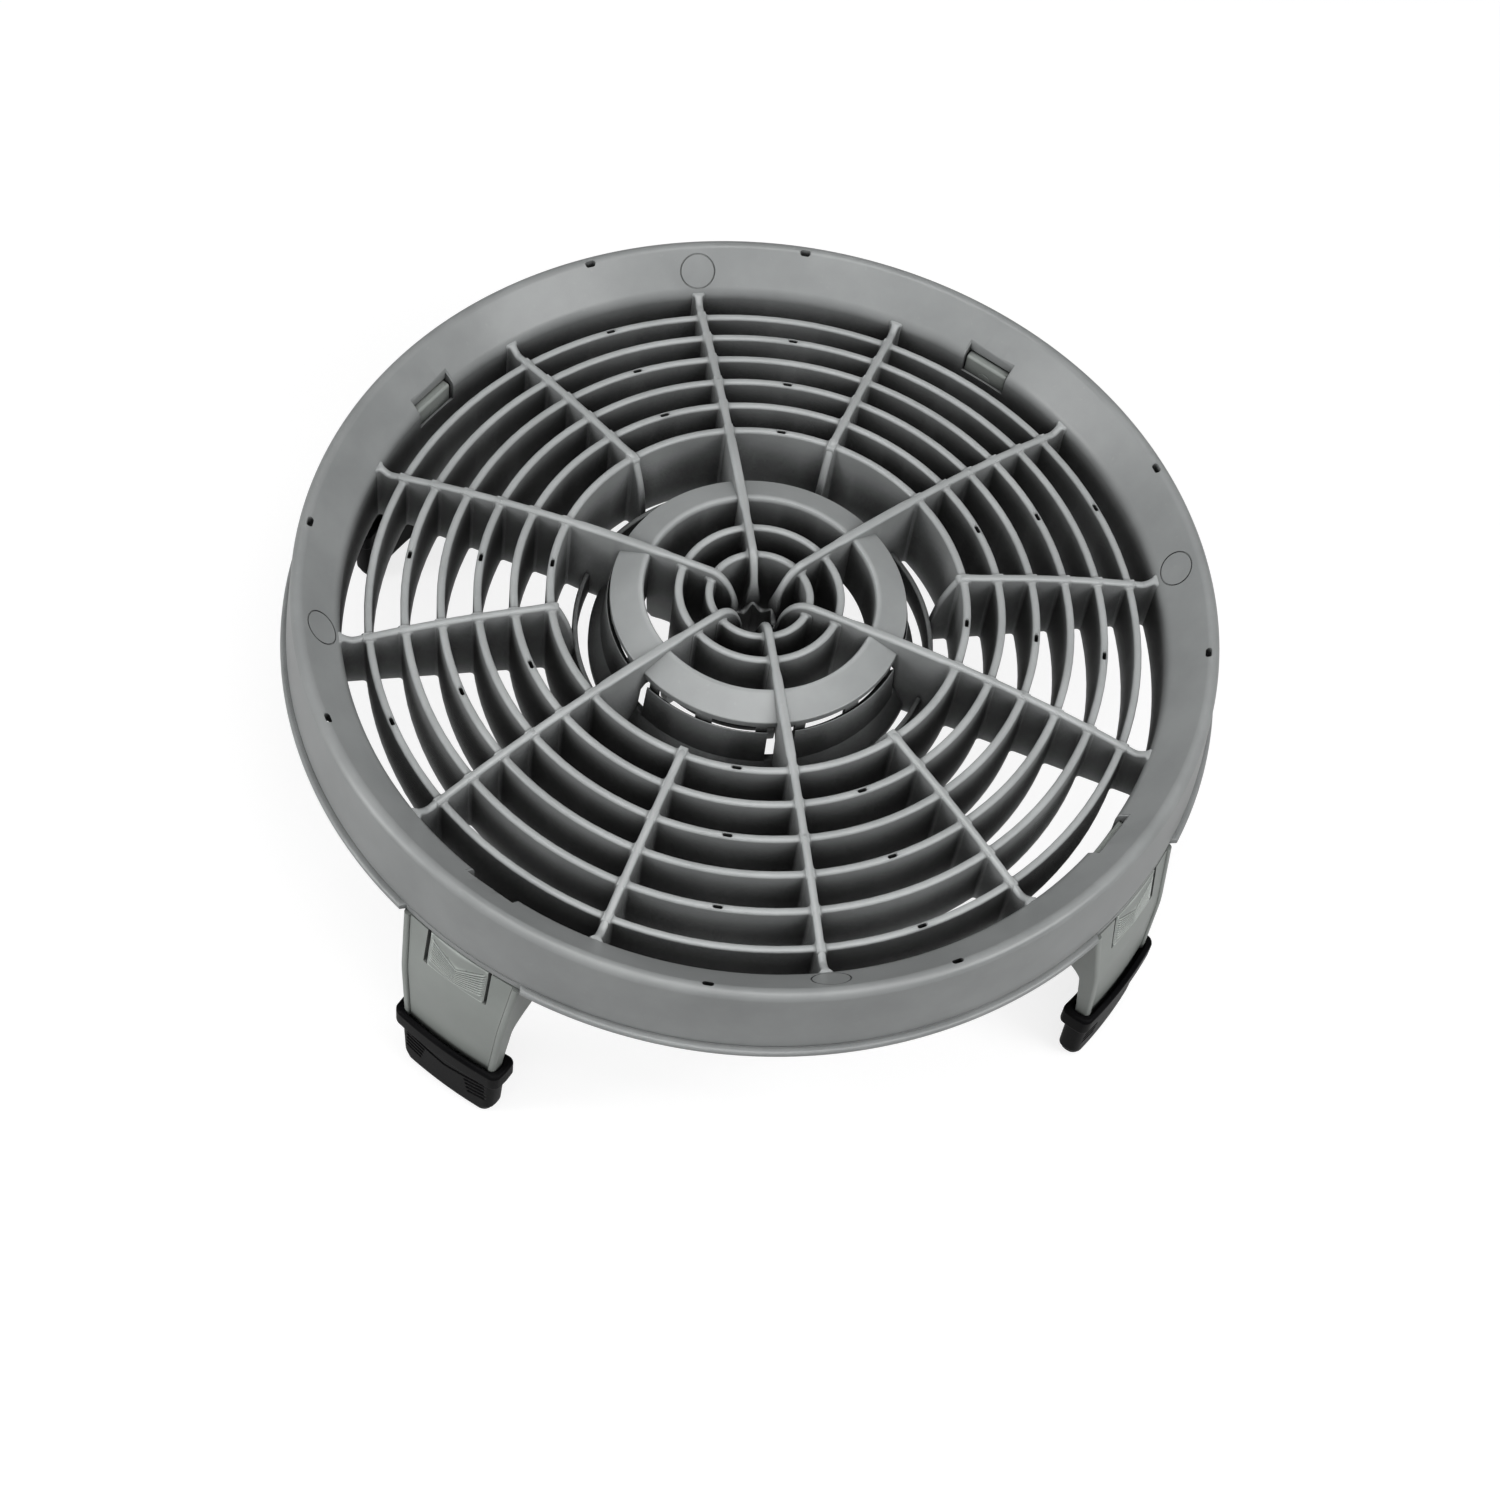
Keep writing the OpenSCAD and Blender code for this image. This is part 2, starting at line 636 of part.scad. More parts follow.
// Radial section of a shoe's body, with a round sole that has a narrow flat
module shoe_body_section() {
    h = shoe_t / 2;
    flat_a = acos(1 - sole_flat / h);
    polygon(concat(
        [[shoe_mid + h, shoe_h - 1], [shoe_mid - h, shoe_h - 1]],
        arc(shoe_mid, h - sole_flat, h, 180, 270 - flat_a, 8),
        arc(shoe_mid, h - sole_flat, h, 270 + flat_a, 360, 8)));
}

// Radial section of the rolled collar round a shoe's mouth, with its corners eased by e
module shoe_collar_section() {
    c = shoe_t / 2 + shoe_collar_proud;
    e = shoe_collar_proud;
    k = 0.3 * e;
    half = [[c - e, shoe_h], [c - k, shoe_h - k], [c, shoe_h - e],
            [c, collar_low_z + e], [c - k, collar_low_z + k], [c - e, collar_low_z]];
    polygon(concat([for (p = half) [shoe_mid + p[0], p[1]]],
                   [for (i = [len(half) - 1:-1:0]) [shoe_mid - half[i][0], half[i][1]]]));
}

module shoe_body() {
    half = shoe_half;
    low = shoe_half - shoe_taper;
    ch = shoe_half + shoe_collar_proud + 0.4;
    bevel = shoe_collar_proud + 0.25;
    color(rubber_colour) difference() {
        union() {
            intersection() {
                leg_sweep() shoe_body_section();
                face_prism([[-low + 2.8, 0], [low - 2.8, 0], [low - 1, 1.6], [low, 5],
                            [half, collar_low_z + 2], [half, shoe_h - 1], [-half, shoe_h - 1],
                            [-half, collar_low_z + 2], [-low, 5], [-low + 1, 1.6]]);
            }
            intersection() {
                leg_sweep() shoe_collar_section();
                face_prism([[-ch, collar_low_z + bevel], [-ch + bevel, collar_low_z],
                            [ch - bevel, collar_low_z], [ch, collar_low_z + bevel],
                            [ch, shoe_h - bevel], [ch - bevel, shoe_h], [-ch + bevel, shoe_h],
                            [-ch, shoe_h - bevel]]);
            }
        }
        // pocket for the leg's foot
        intersection() {
            leg_sweep() foot_section(clip_gap);
            face_prism([[-foot_half - clip_gap, 0], [foot_half + clip_gap, 0],
                        [foot_half + clip_gap, shoe_h + 2], [-foot_half - clip_gap, shoe_h + 2]]);
        }
        // mouth for the end of the leg
        intersection() {
            leg_sweep() translate([shoe_mid - mouth_half_t, shoe_h - mouth_depth])
                square([2 * mouth_half_t, far]);
            translate([leg_near_r, -leg_half_foot - clip_gap, 0])
                cube([far, 2 * (leg_half_foot + clip_gap), far]);
        }
        // narrow slot through each end, under the collar
        translate([shoe_mid - shoe_t * 0.3, -far / 2, collar_low_z - 1.5 - shoe_slit_h])
            cube([shoe_t * 0.6, far, shoe_slit_h]);
    }
}

module leg_1() { at_leg(1) leg_body(); }
module leg_2() { at_leg(2) leg_body(); }
module leg_3() { at_leg(3) leg_body(); }
module leg_4() { at_leg(4) leg_body(); }
module release_tab_1() { at_leg(1) release_tab_body(); }
module release_tab_2() { at_leg(2) release_tab_body(); }
module release_tab_3() { at_leg(3) release_tab_body(); }
module release_tab_4() { at_leg(4) release_tab_body(); }
module shoe_1() { at_leg(1) shoe_body(); }
module shoe_2() { at_leg(2) shoe_body(); }
module shoe_3() { at_leg(3) shoe_body(); }
module shoe_4() { at_leg(4) shoe_body(); }

rim_skirt();
rim_flange();
rim_wall();
long_spokes();
short_spokes();
slat_ring_1();
slat_ring_2();
slat_ring_3();
slat_ring_4();
slat_ring_5();
slat_ring_6();
hub_ring_inner();
hub_ring_outer();
centre_well();
shoulder();
collar();
foot_ring();
guard_ring();
leg_1();
leg_2();
leg_3();
leg_4();
release_tab_1();
release_tab_2();
release_tab_3();
release_tab_4();
shoe_1();
shoe_2();
shoe_3();
shoe_4();
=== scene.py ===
import math

import bpy
import numpy as np
from mathutils import Matrix, Vector


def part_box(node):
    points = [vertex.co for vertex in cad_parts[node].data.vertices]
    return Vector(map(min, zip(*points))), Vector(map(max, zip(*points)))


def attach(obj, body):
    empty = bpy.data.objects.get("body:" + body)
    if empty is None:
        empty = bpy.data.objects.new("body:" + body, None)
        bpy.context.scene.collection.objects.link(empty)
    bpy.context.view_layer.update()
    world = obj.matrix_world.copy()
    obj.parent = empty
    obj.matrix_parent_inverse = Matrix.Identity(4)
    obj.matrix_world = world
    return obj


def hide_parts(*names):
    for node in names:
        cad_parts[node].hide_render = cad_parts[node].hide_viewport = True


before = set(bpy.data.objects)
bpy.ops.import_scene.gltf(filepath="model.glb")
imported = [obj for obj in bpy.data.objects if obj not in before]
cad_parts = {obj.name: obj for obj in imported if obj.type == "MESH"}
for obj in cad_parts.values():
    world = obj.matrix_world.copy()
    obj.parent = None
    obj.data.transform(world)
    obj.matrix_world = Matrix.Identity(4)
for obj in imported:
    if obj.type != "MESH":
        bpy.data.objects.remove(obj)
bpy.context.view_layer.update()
mm = 0.001
tau = 2 * math.pi


def boxOf(node):  # a node's lowest and highest corner, in mm
    low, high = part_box(node)
    return np.array(low) / mm, np.array(high) / mm


def addObject(name, data):  # a new object in the scene
    obj = bpy.data.objects.new(name, data)
    bpy.context.scene.collection.objects.link(obj)
    return obj


cameraSet = {
    "azimuth": -17.12,  # 0 looks along +Y
    "elevation": 56.65,
    "roll": 9.99,
    "distance": 0.7882,
    "aim": (-0.01138, -0.05346, 0.0),  # from the middle of the rim's upper plane
    "lens": 70.43,
    "sensor": 36,
    "clip": (0.02, 20),
}


# Looks along the azimuth and elevation at the aim, then rolls about the line of sight.
def makeCamera(s):
    a, e, roll = (math.radians(s[k]) for k in ("azimuth", "elevation", "roll"))
    forward = Vector((-math.sin(a) * math.cos(e), math.cos(a) * math.cos(e), -math.sin(e)))
    up = Vector((-math.sin(a) * math.sin(e), math.cos(a) * math.sin(e), math.cos(e)))
    right = forward.cross(up)
    across = right * math.cos(roll) + up * math.sin(roll)
    above = up * math.cos(roll) - right * math.sin(roll)
    aim = Vector(s["aim"]) + Vector((0, 0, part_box("rim_skirt")[1][2]))
    cam = addObject("camera", bpy.data.cameras.new("camera"))
    cam.data.lens, cam.data.sensor_width = s["lens"], s["sensor"]
    cam.data.clip_start, cam.data.clip_end = s["clip"]
    m = Matrix((across, above, -forward)).transposed().to_4x4()
    m.translation = aim - forward * s["distance"]
    cam.matrix_world = m
    bpy.context.scene.camera = cam


makeCamera(cameraSet)
print("camera done")

sharpEdge = 38  # degrees between faces from which an edge stays sharp


# A skin over points[station, outline, xyz]. The outline is always closed. The stations close too,
# or each end gets a flat cap.
def gridShell(points, closedAlong=False):
    n, k = points.shape[:2]
    i = np.arange(n if closedAlong else n - 1)[:, None]
    j = np.arange(k)[None, :]
    i2, j2 = (i + 1) % n, (j + 1) % k
    quads = np.stack([i * k + j, i * k + j2, i2 * k + j2, i2 * k + j], -1).reshape(-1, 4)
    ends = [] if closedAlong else [np.arange(k)[::-1], (n - 1) * k + np.arange(k)]
    return points.reshape(-1, 3), quads, ends


# Volume by the divergence theorem: the sum of the corner triple products of all triangles.
def signedVolume(v, quads, ends):
    tris = [quads[:, [0, 1, 2]], quads[:, [0, 2, 3]]]
    for e in ends:
        tris.append(np.stack([np.full(len(e) - 2, e[0]), e[1:-1], e[2:]], -1))
    t = np.concatenate(tris)
    a, b, c = v[t[:, 0]], v[t[:, 1]], v[t[:, 2]]
    return np.einsum("ij,ij->i", a, np.cross(b, c)).sum() / 6


# Joins closed shells given in mm into one mesh in metres, each with its faces outwards.
def meshFrom(name, shells, sharpAngle=sharpEdge):
    verts, loops, totals, base = [], [], [], 0
    for v, quads, ends in shells:
        if signedVolume(v, quads, ends) < 0:
            quads, ends = quads[:, ::-1], [e[::-1] for e in ends]
        verts.append(v)
        loops.append((quads + base).ravel())
        totals.append(np.full(len(quads), 4))
        for e in ends:
            loops.append(e + base)
            totals.append(np.array([len(e)]))
        base += len(v)
    co = np.concatenate(verts) * mm
    loops, totals = np.concatenate(loops).astype(np.int32), np.concatenate(totals).astype(np.int32)
    mesh = bpy.data.meshes.new(name)
    mesh.vertices.add(len(co))
    mesh.vertices.foreach_set("co", co.astype(np.float32).ravel())
    mesh.loops.add(len(loops))
    mesh.loops.foreach_set("vertex_index", loops)
    mesh.polygons.add(len(totals))
    starts = np.concatenate([[0], np.cumsum(totals)[:-1]]).astype(np.int32)
    mesh.polygons.foreach_set("loop_start", starts)
    mesh.polygons.foreach_set("loop_total", totals)
    mesh.update(calc_edges=True)
    mesh.validate()
    mesh.shade_smooth()
    mesh.set_sharp_from_angle(angle=math.radians(sharpAngle))
    return addObject(name, mesh)


# Takes the closed shells away from the piece and keeps the result as its mesh.
def cutOut(obj, shells, sharpAngle=sharpEdge):
    tool = meshFrom(obj.name + "Cutter", shells)
    mod = obj.modifiers.new("cut", "BOOLEAN")
    mod.operation, mod.solver, mod.object = "DIFFERENCE", "MANIFOLD", tool
    bpy.context.view_layer.update()
    cut = obj.evaluated_get(bpy.context.evaluated_depsgraph_get())
    done = bpy.data.meshes.new_from_object(cut)
    obj.modifiers.remove(mod)
    old = obj.data
    obj.data = done
    bpy.data.meshes.remove(old)
    bpy.data.objects.remove(tool)
    done.shade_smooth()
    done.set_sharp_from_angle(angle=math.radians(sharpAngle))


# Gives a piece its finish, weighs its normals by face size, ties it to its body, and hides the CAD nodes it
# stands in for.
def finishPiece(obj, material, body, nodes):
    obj.data.materials.clear()
    obj.data.materials.append(material)
    weigh = obj.modifiers.new("weigh normals", "WEIGHTED_NORMAL")
    weigh.keep_sharp = True
    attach(obj, body)
    if nodes:
        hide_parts(*nodes)


# Points at radius r and an angle about the axis, at height z.
def polar(r, angle, z):
    return np.stack(np.broadcast_arrays(r * np.cos(angle), r * np.sin(angle), z), -1)


# Points u outwards and v sideways, turned about the axis to the azimuth.
def turned(u, v, z, azimuth):
    c, s = math.cos(azimuth), math.sin(azimuth)
    return np.stack(np.broadcast_arrays(u * c - v * s, u * s + v * c, z), -1)


# Open outline whose inner corners are replaced by quadratic arcs that start and end at the given
# distance from each corner, or just short of the middle of a side where that is nearer.
def roundedLine(points, radii, steps=5):
    most = 0.48
    p = [np.asarray(q, float) for q in points]
    out = [p[0]]
    for a, b, c, r in zip(p[:-2], p[1:-1], p[2:], radii):
        d1, d2 = a - b, c - b
        r1 = min(r, most * np.linalg.norm(d1)) / np.linalg.norm(d1)
        r2 = min(r, most * np.linalg.norm(d2)) / np.linalg.norm(d2)
        s, e = b + d1 * r1, b + d2 * r2
        for t in np.linspace(0, 1, steps):
            out.append((1 - t) ** 2 * s + 2 * t * (1 - t) * b + t * t * e)
    out.append(p[-1])
    return np.array(out)


# Closed outline with every corner rounded, as roundedLine does.
def roundedLoop(points, radii, steps=5):
    p = [np.asarray(q, float) for q in points]
    line = roundedLine([p[-1]] + p + [p[0]], radii, steps)
    return line[1:-1]


# Outline of [radius, height] points carried round the axis.
def revolve(outline, angles, closed=True):
    return gridShell(polar(outline[None, :, 0], angles[:, None], outline[None, :, 1]), closedAlong=closed)


# Blend from 0 to 1 with level ends: 3x^2 - 2x^3.
def smoothStep(x):
    x = np.clip(x, 0, 1)
    return x * x * (3 - 2 * x)


# 1 between two places and 0 outside them, with blends that reach inwards by the ease.
def band(x, low, high, ease):
    return smoothStep((x - low) / ease) * smoothStep((high - x) / ease)


# Angle from each direction to the nearest of the marks.
def angleOff(angle, marks):
    return np.min(np.abs((angle[:, None] - marks[None, :] + math.pi) % tau - math.pi), 1)


# A standing rib's outline: sign of the side, share of the round crown, and height share.
crownSteps = 7
crownAngle = np.linspace(0, math.pi, crownSteps)
ribSide = np.concatenate([[1, 1], np.sign(np.cos(crownAngle).round(6)), [-1, -1]])
ribCos = np.concatenate([[1, 1], np.cos(crownAngle), [-1, -1]])
ribSin = np.concatenate([[0, 0], np.sin(crownAngle), [0, 0]])
ribRise = np.concatenate([[0, 0.5], np.ones(crownSteps), [0.5, 0]])


# Sideways places of the rib's outline: the flat sides, and a half circle of the crown's radius.
def ribAcross(half, crown):
    return ribSide[None, :] * (half[:, None] - crown) + crown * ribCos[None, :]


# Rib with a round crown that runs round the axis. Its middle's radius, half width and top are
# given at each angle.
def roundRib(radius, half, top, foot, angles, crown):
    z = foot + ribRise[None, :] * (top[:, None] - crown - foot) + crown * ribSin
    across = radius[:, None] + ribAcross(half, crown)
    return gridShell(polar(across, angles[:, None], z), closedAlong=True)


# How far a wall swells at distance d from the face it runs into, as a quarter circle.
def fillet(d, radius):
    near = np.clip(d, 0, radius)
    return np.where(d < radius, radius - np.sqrt(radius**2 - (radius - near) ** 2), 0)


# Plain box in a frame turned to the azimuth: u outwards, v sideways.
def block(u0, u1, v0, v1, z0, z1, azimuth):
    u = np.array([u0, u1, u1, u0], float)
    v = np.array([v0, v0, v1, v1], float)
    return gridShell(turned(u, v, np.array([[z0], [z1]], float), azimuth))


# sizes read from the CAD boxes, in mm
skirtLow, skirtHigh = boxOf("rim_skirt")
topZ, skirtFootZ, lipR = skirtHigh[2], skirtLow[2], skirtHigh[0]
wallLow, wallHigh = boxOf("rim_wall")
bottomZ, wallR = wallLow[2], wallHigh[0]
rollR = boxOf("rim_flange")[1][0]
ringBoxes = [boxOf("slat_ring_%d" % i) for i in range(1, 7)]
shoulderR = boxOf("shoulder")[1][0]
collarLow, collarHigh = boxOf("collar")
legAngles = np.radians([45, 135, 225, 315])
spokeAngles = np.radians(np.arange(12) * 30)
longAngles = np.radians(30 + np.arange(6) * 60)
markAngles = np.radians([0, 90, 180, 270])
slotOff = math.radians(15)  # the drain slots lie this far beside the marks

rim = {
    "wall": 2.4,
    "draft": 1.9,  # how far the skirt leans out towards its foot
    "rollRadius": 2.2,
    "lipProud": 1.6, "lipHeight": 2.2, "lipRound": 1.1,
    "rootDepth": 0.5,  # groove above the lip
    "rootHeight": 0.6,
    "innerR": wallR - 2.4,  # inside of the wall
    "innerEdgeZ": topZ - 10.3,
    "innerRound": 2.4,
    "notchHalf": 7.5, "notchReach": 4.6, "notchMouth": 2.9,
    "pocketRoof": 0.1,
    "notchDepth": 7.0,
    "skin": 0.6,
    "markDiameter": 10.8, "markGroove": 0.45, "markDepth": 0.35,
    "markPlace": 0.45,  # share of the flange's width
    "slotLength": 2.6, "slotWidth": 1.1, "slotDrop": 3.2,
    "legHalf": 20.0,
    "lipFade": 0.4,  # degrees
}
skirtR = lipR - rim["lipProud"]


# Slope of the flange: the line from its inner edge that just touches the rolled edge's circle.
def flangeSlope(s):
    run, rise = rollR - s["innerR"], topZ - s["rollRadius"] - s["innerEdgeZ"]
    return math.atan2(rise, run) + math.asin(s["rollRadius"] / math.hypot(run, rise))


# Lip, skirt, rolled edge, funnel flange and inner wall, round the section once. The second list
# says how much of each point's reach belongs to the lip.
def rimOutline(s):
    slope = flangeSlope(s)
    wall, rollZ, lipTop = s["wall"], topZ - s["rollRadius"], skirtFootZ + s["lipHeight"]
    soft, rootR, rootZ = s["lipRound"], skirtR - s["rootDepth"], lipTop + s["rootHeight"]
    lip = roundedLine([[skirtR - wall, skirtFootZ], [lipR, skirtFootZ], [lipR, lipTop], [rootR, lipTop],
                       [rootR, rootZ], [skirtR - 0.1, lipTop + 1.3], [skirtR - 0.3, skirtFootZ + 7]],
                      [soft, soft, 0.2, 0.2, 0.4], 6)
    a = np.linspace(0, math.pi / 2 + slope, 14)
    roll = np.column_stack([rollR + s["rollRadius"] * np.cos(a), rollZ + s["rollRadius"] * np.sin(a)])
    inner = roundedLine([roll[-1], [s["innerR"], s["innerEdgeZ"]], [s["innerR"], bottomZ],
                         [wallR, bottomZ], [wallR, s["innerEdgeZ"] - wall * 0.6],
                         [rollR - wall * 0.5, rollZ - wall * 0.6],
                         [rollR + s["rollRadius"] - wall, rollZ - wall * 0.9],
                         [skirtR - wall, skirtFootZ]], [s["innerRound"], 0.4, 0.4, 1.0, 0.8, 0.8], 8)
    line = np.concatenate([lip, roll, inner[1:-1]])
    proud = np.clip(line[:, 0] - (skirtR - 0.25), 0, None)
    return line, np.where(line[:, 1] < lipTop + 1.2, proud, 0)


# The outline carried round the axis. At each leg the lip draws back into the skirt over about a
# millimetre, then the notches, slots and mark grooves are cut.
def makeRim(s):
    outline, reach = rimOutline(s)
    legEdge = math.asin(s["legHalf"] / lipR)
    near = np.radians(np.linspace(-0.6, 0.6, 7))
    fine = np.concatenate([a + e * legEdge + near for a in legAngles for e in (-1, 1)])
    angle = np.unique(np.concatenate([np.radians(np.arange(0, 360, 1.0)), fine % tau]))
    lipShare = smoothStep((angleOff(angle, legAngles) - legEdge) / math.radians(s["lipFade"]) + 0.5)
    r = outline[None, :, 0] - reach[None, :] * (1 - lipShare[:, None])
    skin = gridShell(polar(r, angle[:, None], outline[None, :, 1]), closedAlong=True)
    obj = meshFrom("rimMoulding", [skin])

    half, inner, edgeZ = s["notchHalf"], s["innerR"], s["innerEdgeZ"]
    cutOut(obj, [block(inner + s["skin"], inner + s["notchReach"], -half, half,
                       bottomZ - 2, edgeZ + s["pocketRoof"], a) for a in legAngles])
    cutOut(obj, [block(inner - 3, inner + s["notchMouth"], -half - 0.01, half + 0.01,
                       edgeZ - s["notchDepth"], topZ + 5, a) for a in legAngles])
    cutters = [notchEase(a, s) for a in legAngles]
    for a in markAngles:
        for turn in (-slotOff, slotOff):
            cutters.append(slotCutter(rollR - s["slotWidth"], a + turn, topZ - s["slotDrop"], 4, 8, s))
        cutters.append(markGroove(a, s))
    cutOut(obj, cutters)
    return obj


# Shallow frustum that lies in the slope of the flange and takes the sharp edge off a notch.
def notchEase(angle, s):
    ease = np.array([[-0.35, 0.0], [0.05, 0.4], [3.0, 0.4]])  # height over the flange, growth
    out = s["innerR"] + s["notchMouth"] + ease[:, 1]
    u = np.stack([np.full(3, s["innerR"] - 3), out, out, np.full(3, s["innerR"] - 3)], 1)
    v = (s["notchHalf"] + ease[:, 1:]) * np.array([[-1, -1, 1, 1]])
    z = s["innerEdgeZ"] + (u - s["innerR"]) * math.tan(flangeSlope(s)) + ease[:, :1]
    return gridShell(turned(u, v, z, angle))


# Oblong with round ends, lying along the ring. It widens where it meets the surface, so the mouth
# gets a small lead-in.
def slotCutter(r, angle, surfaceZ, above, below, s, flare=0.28):
    a = np.linspace(0, tau, 20, endpoint=False)
    rad = s["slotWidth"] / 2
    run = np.where(np.cos(a) >= 0, 1, -1) * (s["slotLength"] / 2 - rad)
    levels = np.array([[surfaceZ + above, flare + 0.02], [surfaceZ + 0.05, flare],
                       [surfaceZ - flare, 0], [surfaceZ - below, 0]])  # height, growth
    v = run[None, :] + (rad + levels[:, 1:]) * np.cos(a)[None, :]
    u = r + (rad + levels[:, 1:]) * np.sin(a)[None, :]
    return gridShell(turned(u, v, levels[:, :1], angle))


# Square-section ring, sunk a little into the slope of the flange.
def markGroove(angle, s):
    slope, outer = flangeSlope(s), s["markDiameter"] / 2
    inner, sunk = outer - s["markGroove"], -s["markDepth"]
    section = np.array([[outer, sunk], [outer, 1], [inner, 1], [inner, sunk]])
    around = np.radians(np.arange(0, 360, 7.5))
    ring = polar(section[None, :, 0], around[:, None], section[None, :, 1])
    middle = s["innerR"] + (rollR - s["innerR"]) * s["markPlace"]
    u = ring[..., 0] * math.cos(slope) - ring[..., 2] * math.sin(slope) + middle
    z = ring[..., 0] * math.sin(slope) + ring[..., 2] * math.cos(slope)
    z = z + s["innerEdgeZ"] + (middle - s["innerR"]) * math.tan(slope)
    return gridShell(turned(u, ring[..., 1], z, angle), closedAlong=True)


grille = {
    "slat": 2.3,
    "spoke": 2.3,
    "thickSpoke": 2.8,  # under the hub, from one radius to the other
    "thickFrom": 27.0, "thickTo": 57.0, "thickEase": 3.0,
    "crown": 1.0,
    "cornerFillet": 1.0,
    "spokeProud": 0.8,
    "crownDrop": 1.2,
    "domeR": 130.0, "domeFall": 16.6, "domePower": 2.8,
    "rimFillet": 2.0,
    "rimSink": 0.6,  # how far the spokes run into the rim
    "tailLength": 4.5, "tailLift": 0.3,
    "slotLength": 2.6, "slotWidth": 1.1,
    "noseLength": 9.0, "noseFillet": 1.8,
    "shortFoot": (51.0, 24.0),  # a short spoke's inner end: radius, drop below the top
    "shortKnee": (52.6, 13.0),
    "shortHead": (57.0, 0.5),  # radius, lift over the spokes' own line
    "shortRun": 64.0,
    "wellMouthDrop": 16.5, "wellFlat": 4.6, "wellWall": 1.8, "wellCrown": 0.8,
    "hubRings": ((14.2, 3.4), (22.8, 2.4)),  # radius, drop below the top
    "gateDotR": 78.7, "gateDotRadius": 0.75, "gateDotHeight": 0.25,
    "archFrom": 31.7,  # arch in the long spokes' lower edge
    "archTo": 43.4, "archZ": 85.5, "archEase": 1.2,
}


# Height of the slats' tops over the radius: a crown that falls as a power of the radius.
def domeZ(r):
    return topZ - grille["crownDrop"] - grille["domeFall"] * (r / grille["domeR"]) ** grille["domePower"]


# Rib with a round crown, carried round the axis. Close to each spoke both sides swell by a
# quarter-circle fillet, and the crown lifts with it.
def ringRib(radius, top, foot, half, angles, fill):
    step = np.radians(3 if radius > 30 else 5)
    crown, spokeHalf = grille["crown"], grille["spoke"] / 2
    near = fill * np.array([1, 0.75, 0.5, 0.25, 0.1, 0])
    side = np.arcsin(np.clip((spokeHalf + near) / radius, 0, 0.99))
    fine = np.concatenate([a + e * side for a in angles for e in (-1, 1)])
    th = np.unique(np.concatenate([np.arange(0, tau - 1e-6, step), fine % tau]).round(6))
    swell = fillet(radius * np.sin(angleOff(th, angles)) - spokeHalf, fill)
    return roundRib(np.full(len(th), radius), half + swell, top + 0.5 * swell, foot, th, crown)


# Six ring ribs whose tops follow the dome, with drain slots to one side of the marks on even rings
# and to the other side on odd ones.
def makeSlats(s):
    half = s["slat"] / 2
    shells = [ringRib(high[0] - half, high[2], low[2], half, spokeAngles, s["cornerFillet"])
              for low, high in ringBoxes]
    obj = meshFrom("slatRings", shells)
    slots = []
    for i, (_, high) in enumerate(ringBoxes):
        turn = slotOff if i % 2 else -slotOff
        slots += [slotCutter(high[0] - half, a + turn, high[2] - 0.15, 3, 5, s, 0.2) for a in markAngles]
    cutOut(obj, slots)
    return obj


# Rib on a plane through the axis. Its crown follows the [radius, height] line, set in along the
# line's own normal, and its sides drop straight to the foot.
def uprightRib(angle, line, foot, half, crown):
    d = np.gradient(line, axis=0)
    d /= np.linalg.norm(d, axis=1)[:, None]
    normal = np.column_stack([-d[:, 1], d[:, 0]])
    base = line - normal * crown
    lift = crown * ribSin[None, :]
    r = base[:, :1] + normal[:, :1] * lift
    z = foot + ribRise[None, :] * (base[:, 1:] - foot) + normal[:, 1:] * lift
    return gridShell(turned(r, ribAcross(half, crown), z, angle))


# Height of the spokes' crowns over the radius: the dome and a little more.
def spokeTop(r):
    return domeZ(r) + grille["spokeProud"]


